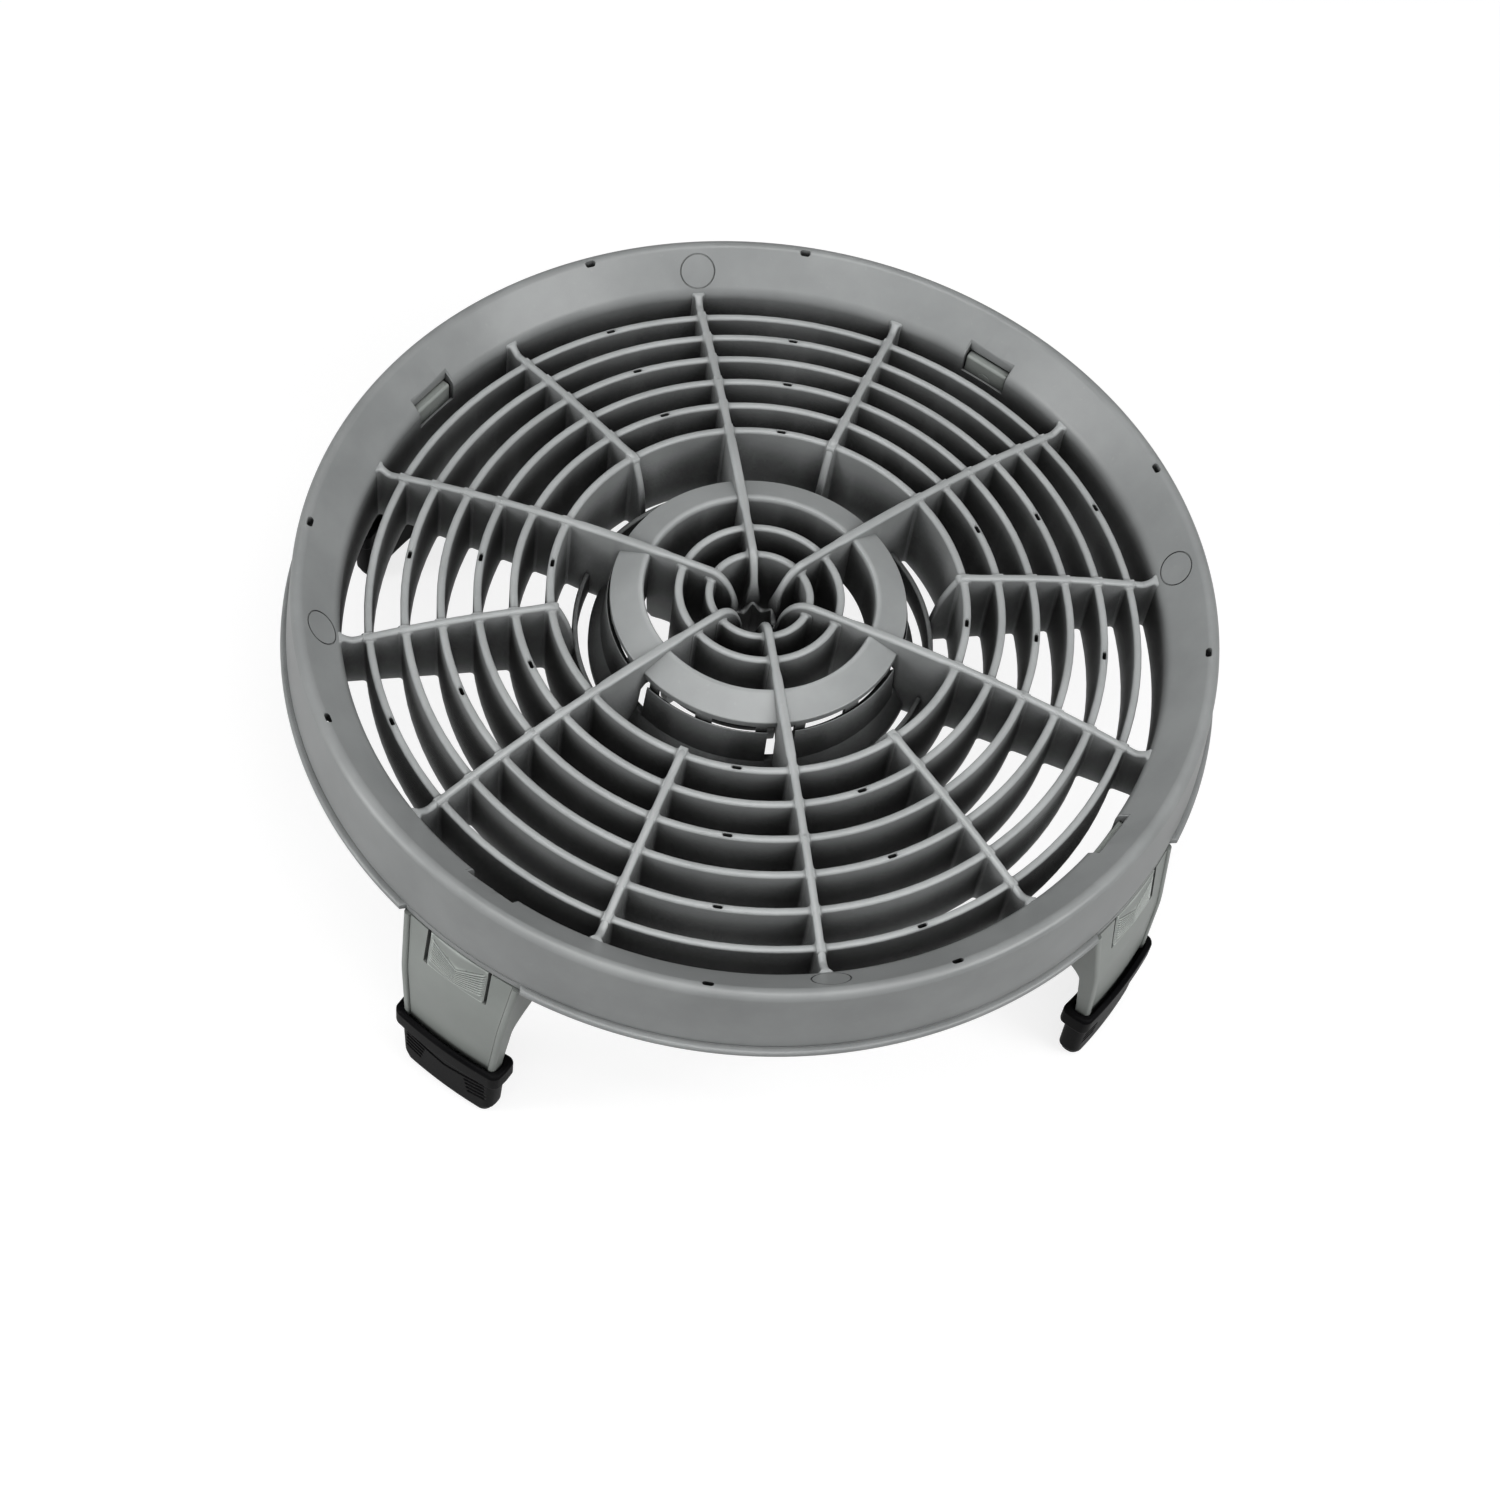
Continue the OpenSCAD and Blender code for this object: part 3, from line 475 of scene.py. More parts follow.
# Long spokes run from the well's corners to the rim, short ones from the guard ring. Both spread
# where they meet the rim. The long ones are thicker round the hub and arched beneath it.
def makeSpokes(s):
    end, tail = rim["innerR"] + s["rimSink"], s["tailLength"]
    tailStart = end - tail
    rise = rim["innerEdgeZ"] + s["tailLift"] - spokeTop(end)
    noseR = s["wellFlat"] / math.cos(math.pi / 6) + 0.6
    noseEnd, mouthZ = noseR + s["noseLength"], topZ - s["wellMouthDrop"]
    noseTop = spokeTop(noseEnd)
    q = np.linspace(0, math.pi / 2, 12)
    nose = np.column_stack([noseR + s["noseLength"] * (1 - np.cos(q)),
                            noseTop - (noseTop - mouthZ) * (1 - np.sin(q))])

    def topLine(start):
        r = np.concatenate([np.arange(start, end - 5, 1.5), np.linspace(tailStart, end, 8)])
        return np.column_stack([r, spokeTop(r) + rise * smoothStep((r - tailStart) / tail)])

    longLine = np.concatenate([nose, topLine(noseEnd + 2)])
    (footR, footDrop), (kneeR, kneeDrop), (headR, headLift) = s["shortFoot"], s["shortKnee"], s["shortHead"]
    bend = roundedLine([[footR, topZ - footDrop], [kneeR, topZ - kneeDrop],
                        [headR, spokeTop(headR) + headLift],
                        [s["shortRun"], spokeTop(s["shortRun"])]], [5, 4.5], 8)
    shortLine = np.concatenate([bend[:-1], topLine(s["shortRun"])])
    shells = []
    for line, angles in ((longLine, longAngles), (shortLine, longAngles + math.pi / 6)):
        r = line[:, 0]
        half = s["spoke"] / 2 + 0.5 * fillet(rim["innerR"] - r, s["rimFillet"])
        foot = np.full(len(r), bottomZ)
        if line is longLine:
            thick = band(r, s["thickFrom"], s["thickTo"], s["thickEase"])
            flare = 0.6 * fillet(r - noseR - 0.2, s["noseFillet"])
            half = half + (s["thickSpoke"] - s["spoke"]) / 2 * thick + flare
            foot = foot + band(r, s["archFrom"], s["archTo"], s["archEase"]) * (s["archZ"] - bottomZ)
        shells += [uprightRib(a, line, foot[:, None], half, s["crown"]) for a in angles]
    dotR = s["gateDotR"]  # small round gate marks on the spokes' crowns
    dotZ = spokeTop(dotR) - 0.1
    shells += [dome(dotR, a, dotZ, s["gateDotRadius"], s["gateDotHeight"]) for a in longAngles]
    return meshFrom("spokeRibs", shells)


# Shallow round button with a small flat top.
def dome(r, angle, z, radius, height):
    a = np.linspace(0, tau, 16, endpoint=False)
    q = np.linspace(0, 0.95 * math.pi / 2, 5)
    rr = radius * np.concatenate([[1], np.cos(q)])
    zz = z + np.concatenate([[-0.6], height * np.sin(q)])
    return gridShell(turned(r + rr[:, None] * np.cos(a), rr[:, None] * np.sin(a), zz[:, None], angle))


hub = {
    "shoulderIn": 32.5, "shoulderDrop": 1.7, "shoulderFall": 4.1,
    "wall": 2.2,
    "tubeDrop": 23.0,
    "footTaper": 4.0,
    "wellDish": 2.4, "wellLift": 0.9,
    "collarFlare": 1.1,
    "headTaper": 3.2,
    "collarSlot": 7.9,
    "tabs": ((-24.7, -20.5), (-3.3, 3.3), (20.5, 24.7)),  # degrees off each segment's middle
    "gap": 1.3,
    "footSlope": 3.2,
    "guardWall": 1.6,
}


# Closed outline of [radius, height] points carried over part of a turn, with flat ends.
def arcBlock(outline, a0, a1, step=2.0):
    n = max(2, int(abs(a1 - a0) / step) + 1)
    return revolve(outline, np.radians(np.linspace(a0, a1, n)), closed=False)


# Hub rings, well, shoulder with its tube, collar in six segments with small tabs, foot ring and
# guard ring. All but the well are outlines carried round the axis.
def makeHub(s, g):
    around = np.radians(np.arange(0, 360, 2.0))
    shells = [ringRib(r, topZ - drop, bottomZ, g["slat"] / 2, longAngles, g["cornerFillet"])
              for r, drop in g["hubRings"]]

    # six-sided well: a rib along the hexagon, dished between the spokes that meet its corners
    wellHalf, crown = g["wellWall"] / 2, g["wellCrown"]
    th = np.radians(np.arange(0, 360, 2.5))
    offFlat = (th + math.pi / 6) % (math.pi / 3) - math.pi / 6
    mid = (g["wellFlat"] + wellHalf) / np.cos(offFlat)
    top = topZ - g["wellMouthDrop"] + s["wellLift"] - s["wellDish"] * np.cos(3 * offFlat) ** 1.5
    shells.append(roundRib(mid, np.full(len(th), wellHalf), top, bottomZ, th, crown))

    w, inR, outR = s["wall"], s["shoulderIn"], shoulderR
    inZ = topZ - s["shoulderDrop"]
    outZ = inZ - s["shoulderFall"]
    tubeFoot = topZ - s["tubeDrop"]
    shoulder = roundedLoop([[inR, tubeFoot], [inR, inZ - 0.1], [outR, outZ], [outR, outZ - w],
                            [inR + w, inZ - w - 1], [inR + w, tubeFoot + s["footTaper"]],
                            [inR + 0.6, tubeFoot]], [0.3, 2.2, 0.35, 0.3, 1.5, 0.5, 0.2])
    shells.append(revolve(shoulder, around))

    foot, head = collarLow[2], outZ - w - s["gap"]
    footR, headR = collarHigh[0], collarHigh[0] - s["collarFlare"]
    headInZ = head - s["headTaper"]
    wall = roundedLoop([[footR - w, foot - 0.2], [footR, foot - 0.2], [headR, head], [headR - w, headInZ]],
                       [0.1, 0.1, 0.6, 0.6])
    half = math.degrees(math.asin(s["collarSlot"] / 2 / footR))
    tabIn, tabOut = headR - w + 0.3, outR - 0.25
    tab = np.array([[tabIn, headInZ - 1], [tabIn, outZ - w + 0.6],
                    [tabOut, outZ - w + 0.2], [tabOut, head - 1.5]])
    for a in range(0, 360, 60):
        shells.append(arcBlock(wall, a - 30 + half, a + 30 - half))
        shells += [arcBlock(tab, a + t0, a + t1, 1.0) for t0, t1 in s["tabs"]]

    low = roundedLoop([[footR - w, bottomZ], [footR + s["footSlope"], bottomZ],
                       [footR + s["footSlope"], bottomZ + 3], [footR - 0.2, foot], [footR - w, foot]],
                      [0.3, 0.3, 0.5, 0.3, 0.1])
    shells.append(revolve(low, around))
    guardR, _, guardZ = boxOf("guard_ring")[1]
    guardIn = guardR - s["guardWall"]
    guard = roundedLoop([[guardIn, bottomZ], [guardR, bottomZ], [guardR, guardZ], [guardIn, guardZ]],
                        [0.2, 0.2, 0.7, 0.7])
    shells.append(revolve(guard, around))
    return meshFrom("hubMoulding", shells)


leg = {
    "wall": 2.3,
    "web": 2.2,
    "bead": 0.9,
    "halfTop": 19.6, "halfFoot": 16.0,
    "footThick": 3.4,
    "splay": 1.8,
    "lean": 8.0,
    "kneeDrop": 23.0, "kneeBend": 3.0,
    "topGap": 0.4,  # under the skirt
    "rootDrop": 4.0,  # below the flange's inner edge
    "shoeDepth": 1.9,  # how far the plate goes into the shoe
    "padWidth": 19.4, "padHeight": 14.2, "padRelief": 0.25,
    "slit": 1.1,
    "clipWidth": 14.2, "clipHead": 1.6, "clipDrop": 1.0, "clipSoft": 0.9,
    "clipGap": 0.3, "clipDotR": 2.2,
    "ribs": 9,
    "ribTop": 2.2, "ribSpan": 9.0, "ribSag": 5.4, "ribFlatten": 0.6,
    "ribHeight": 0.35, "ribGroove": 0.2,
    "ribMargin": 0.9,  # plain strip beside the ribs
    "veeSoft": 0.0006,  # rounds the tips of the Vs
}
footZ = boxOf("leg_1")[0][2]
shoeTopZ = boxOf("shoe_1")[1][2]
plateTopZ = skirtFootZ - leg["topGap"]
kneeZ = skirtFootZ - leg["kneeDrop"]
legTopZ = rim["innerEdgeZ"] - leg["rootDrop"]
legEndZ = shoeTopZ - leg["shoeDepth"]
skirtInR = skirtR - rim["wall"] - rim["draft"]
webIn, webOut = wallR + 0.8, skirtInR - 0.7  # room for a leg's root between wall and skirt
upperSlope, lowerSlope = math.tan(math.radians(leg["lean"])), math.tan(math.radians(leg["splay"]))


# Radius of a leg's front face: one slope above the knee, a smaller one below, a soft bend between
# them, and upright inside the shoe.
def plateR(z):
    z = np.maximum(np.asarray(z, float), shoeTopZ)
    kneeR = skirtR + (plateTopZ - kneeZ) * upperSlope
    bend = leg["kneeBend"]
    d = z - kneeZ
    over = np.where(d > bend, d, np.where(d < -bend, 0, (d + bend) ** 2 / (4 * bend)))
    return kneeR - d * lowerSlope - over * (upperSlope - lowerSlope)


# Half width of a leg, falling evenly from the skirt to the shoe.
def legHalf(z):
    drop = plateTopZ - np.maximum(z, shoeTopZ)
    return leg["halfTop"] - (leg["halfTop"] - leg["halfFoot"]) * drop / (plateTopZ - shoeTopZ)


# Radius of the side webs' inner edge: close to the plate below the knee, then out to the rim's wall.
def webLine(z):
    shoeR, kneeR = float(plateR(shoeTopZ)) - leg["footThick"], float(plateR(kneeZ))
    line = roundedLine([[shoeR, legEndZ - 1], [shoeR, shoeTopZ + 1], [kneeR - 4.3, kneeZ - 2.8],
                        [kneeR - 7.3, kneeZ + 0.6], [webIn, kneeZ + 6], [webIn, plateTopZ + 1]],
                       [2, 2, 2, 2.5], 8)
    return np.interp(z, line[:, 1], line[:, 0])


# Radius u and sideways distance v, bent round the axis and turned to the leg.
def wrap(u, v, z, angle):
    a = np.arcsin(np.clip(v / u, -0.9, 0.9)) + angle
    return polar(u, a, z)


# Front plate with a bead and a web along each edge: one closed outline, seen from above, carried
# down the leg. Each row gives which radius counts (0 plate, 1 web), the offset from it, the side,
# and the distance in from the edge.
def legChannel(angle, s):
    z = np.linspace(legEndZ, plateTopZ, 46)
    o, h, web = plateR(z)[:, None], legHalf(z)[:, None], webLine(z)[:, None]
    t, w, b, soft = s["web"], s["wall"], s["bead"], 0.9
    q = np.linspace(0, math.pi / 2, 5)
    beadOut = [(0, b - soft + soft * math.sin(a), soft - soft * math.cos(a)) for a in q]
    beadIn = [(0, b - soft + soft * math.cos(a), t - soft + soft * math.sin(a)) for a in q]
    ease = [(0, 0.12, t + 0.12), (0, 0.03, t + 0.4), (0, 0.0, t + 0.9)]
    outer = [(1, 0.4, 0.0)] + beadOut + beadIn + ease
    inner = [(1, 0.0, 0.4), (1, 0.0, t - 0.4), (1, 0.4, t), (0, -w - 0.6, t), (0, -w, t + 0.6)]
    span = np.linspace(-0.95, 0.95, 9)
    rows = [(k, du, -1, dv) for k, du, dv in outer] + [(0, 0.0, 0, f) for f in span]
    rows += [(k, du, 1, dv) for k, du, dv in outer[::-1]] + [(k, du, 1, dv) for k, du, dv in inner]
    rows += [(0, -w, 0, f) for f in span[::-1]] + [(k, du, -1, dv) for k, du, dv in inner[::-1]]
    kind, du, side, dv = np.array(rows).T[:, None, :]
    u = np.where(kind == 1, web, o) + du
    v = np.where(side == 0, dv * (h - t - 1.0), side * (h - dv))
    return gridShell(wrap(u, v, z[:, None], angle))


# Upright outline of [u, z] points drawn sideways across the leg from v[0] to v[1].
def turnedBlock(angle, u, v, z, bevel=0.0):
    outline = np.column_stack([u, z])
    if bevel:
        outline = roundedLoop(outline, [bevel] * len(outline), 4)
    side = np.linspace(v[0], v[1], 7)
    return gridShell(wrap(outline[None, :, 0], side[:, None], outline[None, :, 1], angle))


# Clip tongue with a flat top between rounded edges, and a shallow round mark on its face.
def clipTongue(angle, s):
    face = rim["innerR"] + rim["skin"] + s["clipGap"]
    head, top = s["clipHead"], rim["innerEdgeZ"] - s["clipDrop"]
    side, soft, inset = s["clipWidth"] / 2, s["clipSoft"], 0.2
    q = np.linspace(0, math.pi, 14)
    bend = np.sign(np.cos(q).round(6)) * (head - soft) + soft * np.cos(q)
    u = np.concatenate([[face, face + 2 * head], face + head + bend])
    z = np.concatenate([[bottomZ + 3, bottomZ + 3], top - soft + soft * np.sin(q)])
    v = np.array([-side, -side + inset, side - inset, side])[:, None]
    shrink = np.array([inset, 0, 0, inset])[:, None]
    u = face + head + (u - face - head)[None, :] * (1 - shrink / head)
    z = np.where(z[None, :] > top - soft, z[None, :] - shrink, z[None, :])
    tongue = gridShell(turned(u, v, z, angle))
    a = np.linspace(0, tau, 28, endpoint=False)
    radius = s["clipDotR"] - np.array([0, 0, 0.15])[:, None]
    reach = face + np.array([0.4, -0.05, -0.15])[:, None]
    dotZ = rim["innerEdgeZ"] - rim["notchDepth"] - 0.1
    return [tongue, gridShell(turned(reach, radius * np.cos(a), dotZ + radius * np.sin(a), angle))]


# A leg in two pieces: the plate with its window, and the root behind the skirt with the clip
# tongue and the bar for the shoe. The window follows the pad and has a round-ended slit on each side.
def makeLeg(i, s):
    angle = legAngles[i]
    obj = meshFrom("legShell%d" % (i + 1), [legChannel(angle, s)])
    pad, r = s["padWidth"] / 2, s["slit"] / 2
    half, openZ = pad + s["slit"], plateTopZ + 2
    padFoot = plateTopZ - s["padHeight"]
    q = np.linspace(0, math.pi, 9)
    left, right = (np.column_stack([middle - r * np.cos(q), padFoot + r - r * np.sin(q)])
                   for middle in (r - half, half - r))
    window = np.concatenate([[[-half, openZ]], left, [[-pad, padFoot], [pad, padFoot]],
                             right, [[half, openZ]]])
    u = plateR(padFoot) + np.array([-6, 4])[:, None]
    cutOut(obj, [gridShell(wrap(u, window[None, :, 0], window[None, :, 1], angle))])

    extra, edge, frameZ = [], legHalf(legTopZ), plateTopZ - 1
    for side in (-1, 1):
        across = np.array([edge - s["web"], edge]) * side
        extra.append(turnedBlock(angle, [webIn, webOut, webOut, webIn], across,
                                 [frameZ, frameZ, legTopZ, legTopZ], 0.4))
    rootZ, rootTop, rootOut = kneeZ + 6, legTopZ - 6, webIn + s["wall"]
    cross = legHalf(rootZ) - 0.8
    extra.append(turnedBlock(angle, [webIn, rootOut, rootOut, webIn], (-cross, cross),
                             [rootZ, rootZ, rootTop, rootTop], 0.4))
    extra += clipTongue(angle, s)
    # bar that enters the shoe
    bar, barZ = s["halfFoot"] - 2, np.array([shoeTopZ + 1, footZ])
    front, back = plateR(barZ) - 0.15, plateR(barZ) - s["footThick"]
    extra.append(turnedBlock(angle, [back[0], front[0], front[1], back[1]], (-bar, bar),
                             [barZ[0], barZ[0], barZ[1], barZ[1]], 0.6))
    return obj, meshFrom("legRoot%d" % (i + 1), extra)


# Finger pad: a sheet with chevron ribs on its face, and a riser that goes up behind the skirt.
# Rib n follows a V whose depth fades towards the foot, so the sheet's rows run along the ribs
# between a level row at the top and one at the foot.
def makeTab(i, s):
    angle, pad = legAngles[i], s["padWidth"] / 2
    foot = plateTopZ - s["padHeight"] + 0.03
    v = pad * np.concatenate([[-1, -0.985, -0.965], np.linspace(-0.94, 0.94, 53), [0.965, 0.985, 1]])[None, :]
    inner = pad - s["ribMargin"]
    m = np.clip(1 - np.sqrt((v / inner) ** 2 + s["veeSoft"]), 0, 1)
    pitch = s["ribSpan"] / (s["ribs"] - 1)
    fade = s["ribSag"] * s["ribFlatten"] / (s["ribs"] - 1)
    first, last = -0.6, s["ribs"] - 0.4
    number = np.arange(first, last + 0.05, 0.1)[:, None]
    z = plateTopZ - s["ribTop"] - s["ribSag"] * m - number * (pitch - fade * m)
    rise = np.linspace(1, 0, 7)[:-1, None]
    above = z[:1] + (plateTopZ - z[:1]) * rise
    below = z[-1:] + (foot - z[-1:]) * rise[::-1]
    z = np.concatenate([above, z, below])
    number = np.concatenate([np.full((6, 1), first), number, np.full((6, 1), last)])

    def inField(ease):
        return band(number, first, last, ease) * smoothStep((inner - np.abs(v)) / 0.4 + 0.5)

    rib = smoothStep((0.5 + 0.5 * np.cos(tau * number) - 0.08) / 0.5) * inField(0.15)
    edge = 0.3 * (1 - smoothStep((pad - np.abs(v)) / 0.5))
    lift = (s["ribHeight"] + s["ribGroove"]) * rib - s["ribGroove"] * inField(0.3) - edge
    front = wrap(plateR(z) + lift, v, z, angle)
    rearZ = plateTopZ - (plateTopZ - z) * (1 - s["padRelief"] / s["padHeight"])
    rear = wrap(plateR(z) - s["wall"], v, rearZ, angle)
    shells = [gridShell(np.concatenate([front, rear[:, ::-1]], 1))]
    riseR, stepZ, top = skirtInR - 0.9, plateTopZ - 1.4, legTopZ - 2
    riseIn = riseR - s["wall"]
    outline = np.array([[plateR(stepZ - 1) - 0.2, stepZ - 1.2], [plateR(stepZ) - 0.2, plateTopZ - 0.02],
                        [riseR, plateTopZ + 0.3], [riseR, top], [riseIn, top], [riseIn, stepZ - 1.2]])
    shells.append(turnedBlock(angle, outline[:, 0], (-pad + 0.1, pad - 0.1), outline[:, 1], 0.3))
    return meshFrom("fingerPad%d" % (i + 1), shells)


shoe = {
    "half": 16.8,
    "taper": 0.8,
    "thick": 6.6,
    "collarHeight": 7.0, "collarProud": 1.3,
    "mouthDepth": 2.2,
    "gap": 0.4,
    "beadProud": 0.9,
    "soleFlat": 0.12,
    "soleFrom": 5.0,  # height where the sides start to close in
    "slitHeight": 1.1,
    "slitEnds": (12, 22),  # off the middle
    "slitAt": 16.0,
    "lines": 5,
    "linePitch": 2.0,
    "lineDrop": 2.4,  # of the uppermost line's ends, under the collar
    "lineSag": 2.6, "lineSpan": 14.0,
    "lineFrom": 6.6,  # off the middle
    "lineTo": 13.9, "lineDepth": 0.8,
    "sharpAngle": 55,
}


# Stack of oblongs [height, half length, half thickness, outside]: pocket floor, pocket wall, mouth,
# rolled collar, body, round sole.
def shoeRows(s):
    h, wide, proud = s["thick"] / 2, s["half"], s["collarProud"]
    lowZ = shoeTopZ - s["collarHeight"]
    barHalf, barThick = leg["halfFoot"] - 2 + s["gap"], leg["footThick"] / 2 + s["gap"]
    mouthHalf, mouthThick = leg["halfFoot"] + s["gap"], leg["footThick"] / 2 + s["beadProud"] + s["gap"]
    mouthZ, pocketZ = shoeTopZ - s["mouthDepth"], footZ - s["gap"]
    rows = [(pocketZ, 0.02, 0.01, 0), (pocketZ, barHalf * 0.5, barThick * 0.5, 0),
            (pocketZ, barHalf - 0.3, barThick - 0.3, 0), (pocketZ + 0.3, barHalf, barThick, 0)]
    rows += [(z, barHalf, barThick, 0) for z in (pocketZ + 3, mouthZ - 1, mouthZ)]
    rows += [(mouthZ, mouthHalf, mouthThick, 0)]

    # quarter round about the given middle; up and out say how its height and size run
    def quarter(z, half, thick, radius, up, out, angles):
        return [(z + radius * up(a), half + radius * out(a), thick + radius * out(a), 0) for a in angles]

    q = np.linspace(0, math.pi / 2, 7)
    ease, roll, under = 0.3, 1.2, 0.9
    outHalf, outThick = wide + proud + 0.4, h + proud
    rows += quarter(shoeTopZ - ease, mouthHalf + ease, mouthThick + ease, ease,
                    math.sin, lambda a: -math.cos(a), q)
    rows += quarter(shoeTopZ - roll, outHalf - roll, outThick - roll, roll, math.cos, math.sin, q[1:])
    rows += quarter(lowZ + under, outHalf - under, outThick - under, under,
                    lambda a: -math.sin(a), math.cos, q)
    rows.append((lowZ - 0.15, wide + 0.1, h + 0.1, 0))
    roundZ, low, base = s["soleFrom"], wide - s["taper"], h - s["soleFlat"]
    rows += [(z, wide - s["taper"] * (lowZ - z) / (lowZ - roundZ), h, 1)
             for z in np.linspace(lowZ - 0.6, roundZ, 84)]
    rows += [(z, low - ((roundZ - z) / (roundZ - base)) ** 2, h, 1)
             for z in np.linspace(roundZ - 0.3, base, 5)]
    rows += [(max(0.0, base - h * math.sin(a)), low - 1.0 - 2.4 * (1 - math.cos(a)), h * math.cos(a), 1)
             for a in np.linspace(0, math.pi / 2, 12)[1:-1]]
    rows += [(0.0, wide * 0.7, 0.6, 0), (0.0, 0.02, 0.01, 0)]
    return np.array(rows, float)


# The oblongs of shoeRows joined into one closed skin, bent to the leg's own curve. Grooves press
# into the front face on shallow Vs: the uppermost runs right across, the others only near the ends.
def makeShoe(i, s):
    z, wide, th, outside = shoeRows(s).T[:, :, None]
    lowZ = shoeTopZ - s["collarHeight"]
    corner = np.minimum(th * 0.85, 2.6)
    straight = np.clip(wide - corner, 0.005, None)
    flat = np.clip(th - corner, 0.002, None)
    run = np.linspace(-1, 1, 130, endpoint=False)[None, :]
    back = np.linspace(1, -1, 24, endpoint=False)[None, :]
    turn = np.linspace(0, math.pi, 16, endpoint=False)[None, :]
    slow = 0.35
    cosine = np.abs(np.cos(turn))
    ends = flat * np.cos(turn) / np.maximum(cosine, slow) * np.minimum(1, cosine / slow)
    tip, side = straight + corner * np.sin(turn), ends + corner * np.cos(turn)
    v = np.concatenate([run * straight, tip, back * straight, -tip], 1)
    t = np.concatenate([np.broadcast_to(flat + corner, (len(z), run.size)), side,
                        np.broadcast_to(-flat - corner, (len(z), back.size)), -side], 1)
    reach = np.abs(v)
    sag = s["lineSag"] * np.clip(1 - reach / s["lineSpan"], 0, 1)
    number = (lowZ - s["lineDrop"] - sag - z) / s["linePitch"]
    line = smoothStep((0.3 - np.abs(number - number.round())) / 0.12)
    line = line * np.where(number < 0.5, 1.0, smoothStep((reach - s["lineFrom"] - 0.4 * number) / 0.5))
    line = line * smoothStep((s["lineTo"] - reach) / 0.5) * (outside > 0) * (t > 0.6 * th)
    line = line * (number > -0.5) * (number < s["lines"] - 0.5)
    mid = plateR(z) - leg["footThick"] / 2
    skin = gridShell(wrap(mid + t - s["lineDepth"] * line, v, z, legAngles[i]))
    obj = meshFrom("rubberShoe%d" % (i + 1), [skin], s["sharpAngle"])

    slitZ = lowZ - 1.5 - s["slitHeight"]
    u = math.sqrt(float(plateR(slitZ) - leg["footThick"] / 2) ** 2 - s["slitAt"] ** 2)
    deep = s["thick"] * 0.3
    cutOut(obj, [block(u - deep, u + deep, *sorted(e * side for e in s["slitEnds"]), slitZ,
                       slitZ + s["slitHeight"], legAngles[i]) for side in (-1, 1)], s["sharpAngle"])
    return obj


# Adds a node of the kind, with its settings and the values of its inputs.
def node(tree, kind, settings={}, inputs={}):
    n = tree.nodes.new("ShaderNode" + kind)
    for key, value in settings.items():
        setattr(n, key, value)
    for key, value in inputs.items():
        n.inputs[key].default_value = value
    return n


# Links outputs to inputs, each given as node, output, node, input.
def wire(tree, *links):
    for start, out, end, into in links:
        tree.links.new(start.outputs[out], end.inputs[into])


# Starts a shader group of number sockets, whose inputs come with default values.
def startGroup(name, inputs, outputs):
    g = bpy.data.node_groups.new(name, "ShaderNodeTree")
    for label, value in inputs.items():
        socket = g.interface.new_socket(label, in_out="INPUT", socket_type="NodeSocketFloat")
        socket.default_value = value
    for label in outputs:
        g.interface.new_socket(label, in_out="OUTPUT", socket_type="NodeSocketFloat")
    return g, g.nodes.new("NodeGroupInput"), g.nodes.new("NodeGroupOutput")


moulded = {
    "cloudDetail": 4.0,
    "grainDetail": 3.0,
    "speckDetail": 2.0,
    "noiseRoughness": 0.55,
    "speckFrom": 0.66,  # noise at which a speck begins, and at which it is full
    "speckTo": 0.78,
    "airSamples": 6,
    "cloudFrom": 0.32,  # the cloud's range between dark and light
    "cloudTo": 0.68,
    "speckTone": (0.12, 0.12, 0.12, 1),
    "bumpStrength": 0.6,
    "deepRoughness": 0.9,
}

# Each finish's crown value paints a highlight on rounded crowns, and its recess values paint shade into
# narrow gaps.
finishes = {
    "grate": {
        "dark": (0.262, 0.272, 0.272, 1), "light": (0.318, 0.329, 0.329, 1),
        "grain": {"Cloud Size": 45.0, "Grain Size": 2200.0, "Roughness": 0.33, "Roughness Drift": 0.12,
                  "Speck Size": 700.0, "Speck Amount": 0.25},
        "recess": {"Reach": 0.02, "Open Share": 0.68, "Closed Share": 0.15, "Deep Shade": 0.0},
        "paintedCrownHighlight": 0.4, "bump": 0.00003, "ior": 1.5, "gloss": 0.5,
    },
    "leg": {
        "dark": (0.284, 0.305, 0.288, 1), "light": (0.335, 0.358, 0.340, 1),
        "grain": {"Cloud Size": 50.0, "Grain Size": 2200.0, "Roughness": 0.36, "Roughness Drift": 0.12,
                  "Speck Size": 700.0, "Speck Amount": 0.2},
        "recess": {"Reach": 0.01, "Open Share": 0.85, "Closed Share": 0.2, "Deep Shade": 0.2},
        "paintedCrownHighlight": 0.0, "bump": 0.00003, "ior": 1.5, "gloss": 0.5,
    },
    "rubber": {
        "dark": (0.0035, 0.0035, 0.004, 1), "light": (0.007, 0.007, 0.0075, 1),
        "grain": {"Cloud Size": 80.0, "Grain Size": 3000.0, "Roughness": 0.34, "Roughness Drift": 0.15,
                  "Speck Size": 900.0, "Speck Amount": 0.1},
        "recess": {"Reach": 0.004, "Open Share": 0.85, "Closed Share": 0.2, "Deep Shade": 0.2},
        "paintedCrownHighlight": 0.0, "bump": 0.00004, "ior": 1.4, "gloss": 0.05,
    },
}
finishes["rim"] = {**finishes["grate"], "paintedCrownHighlight": 0.0}
# The pad's chevron ribs get a stronger painted highlight on their crowns.
finishes["pad"] = {**finishes["leg"], "paintedCrownHighlight": 0.8}


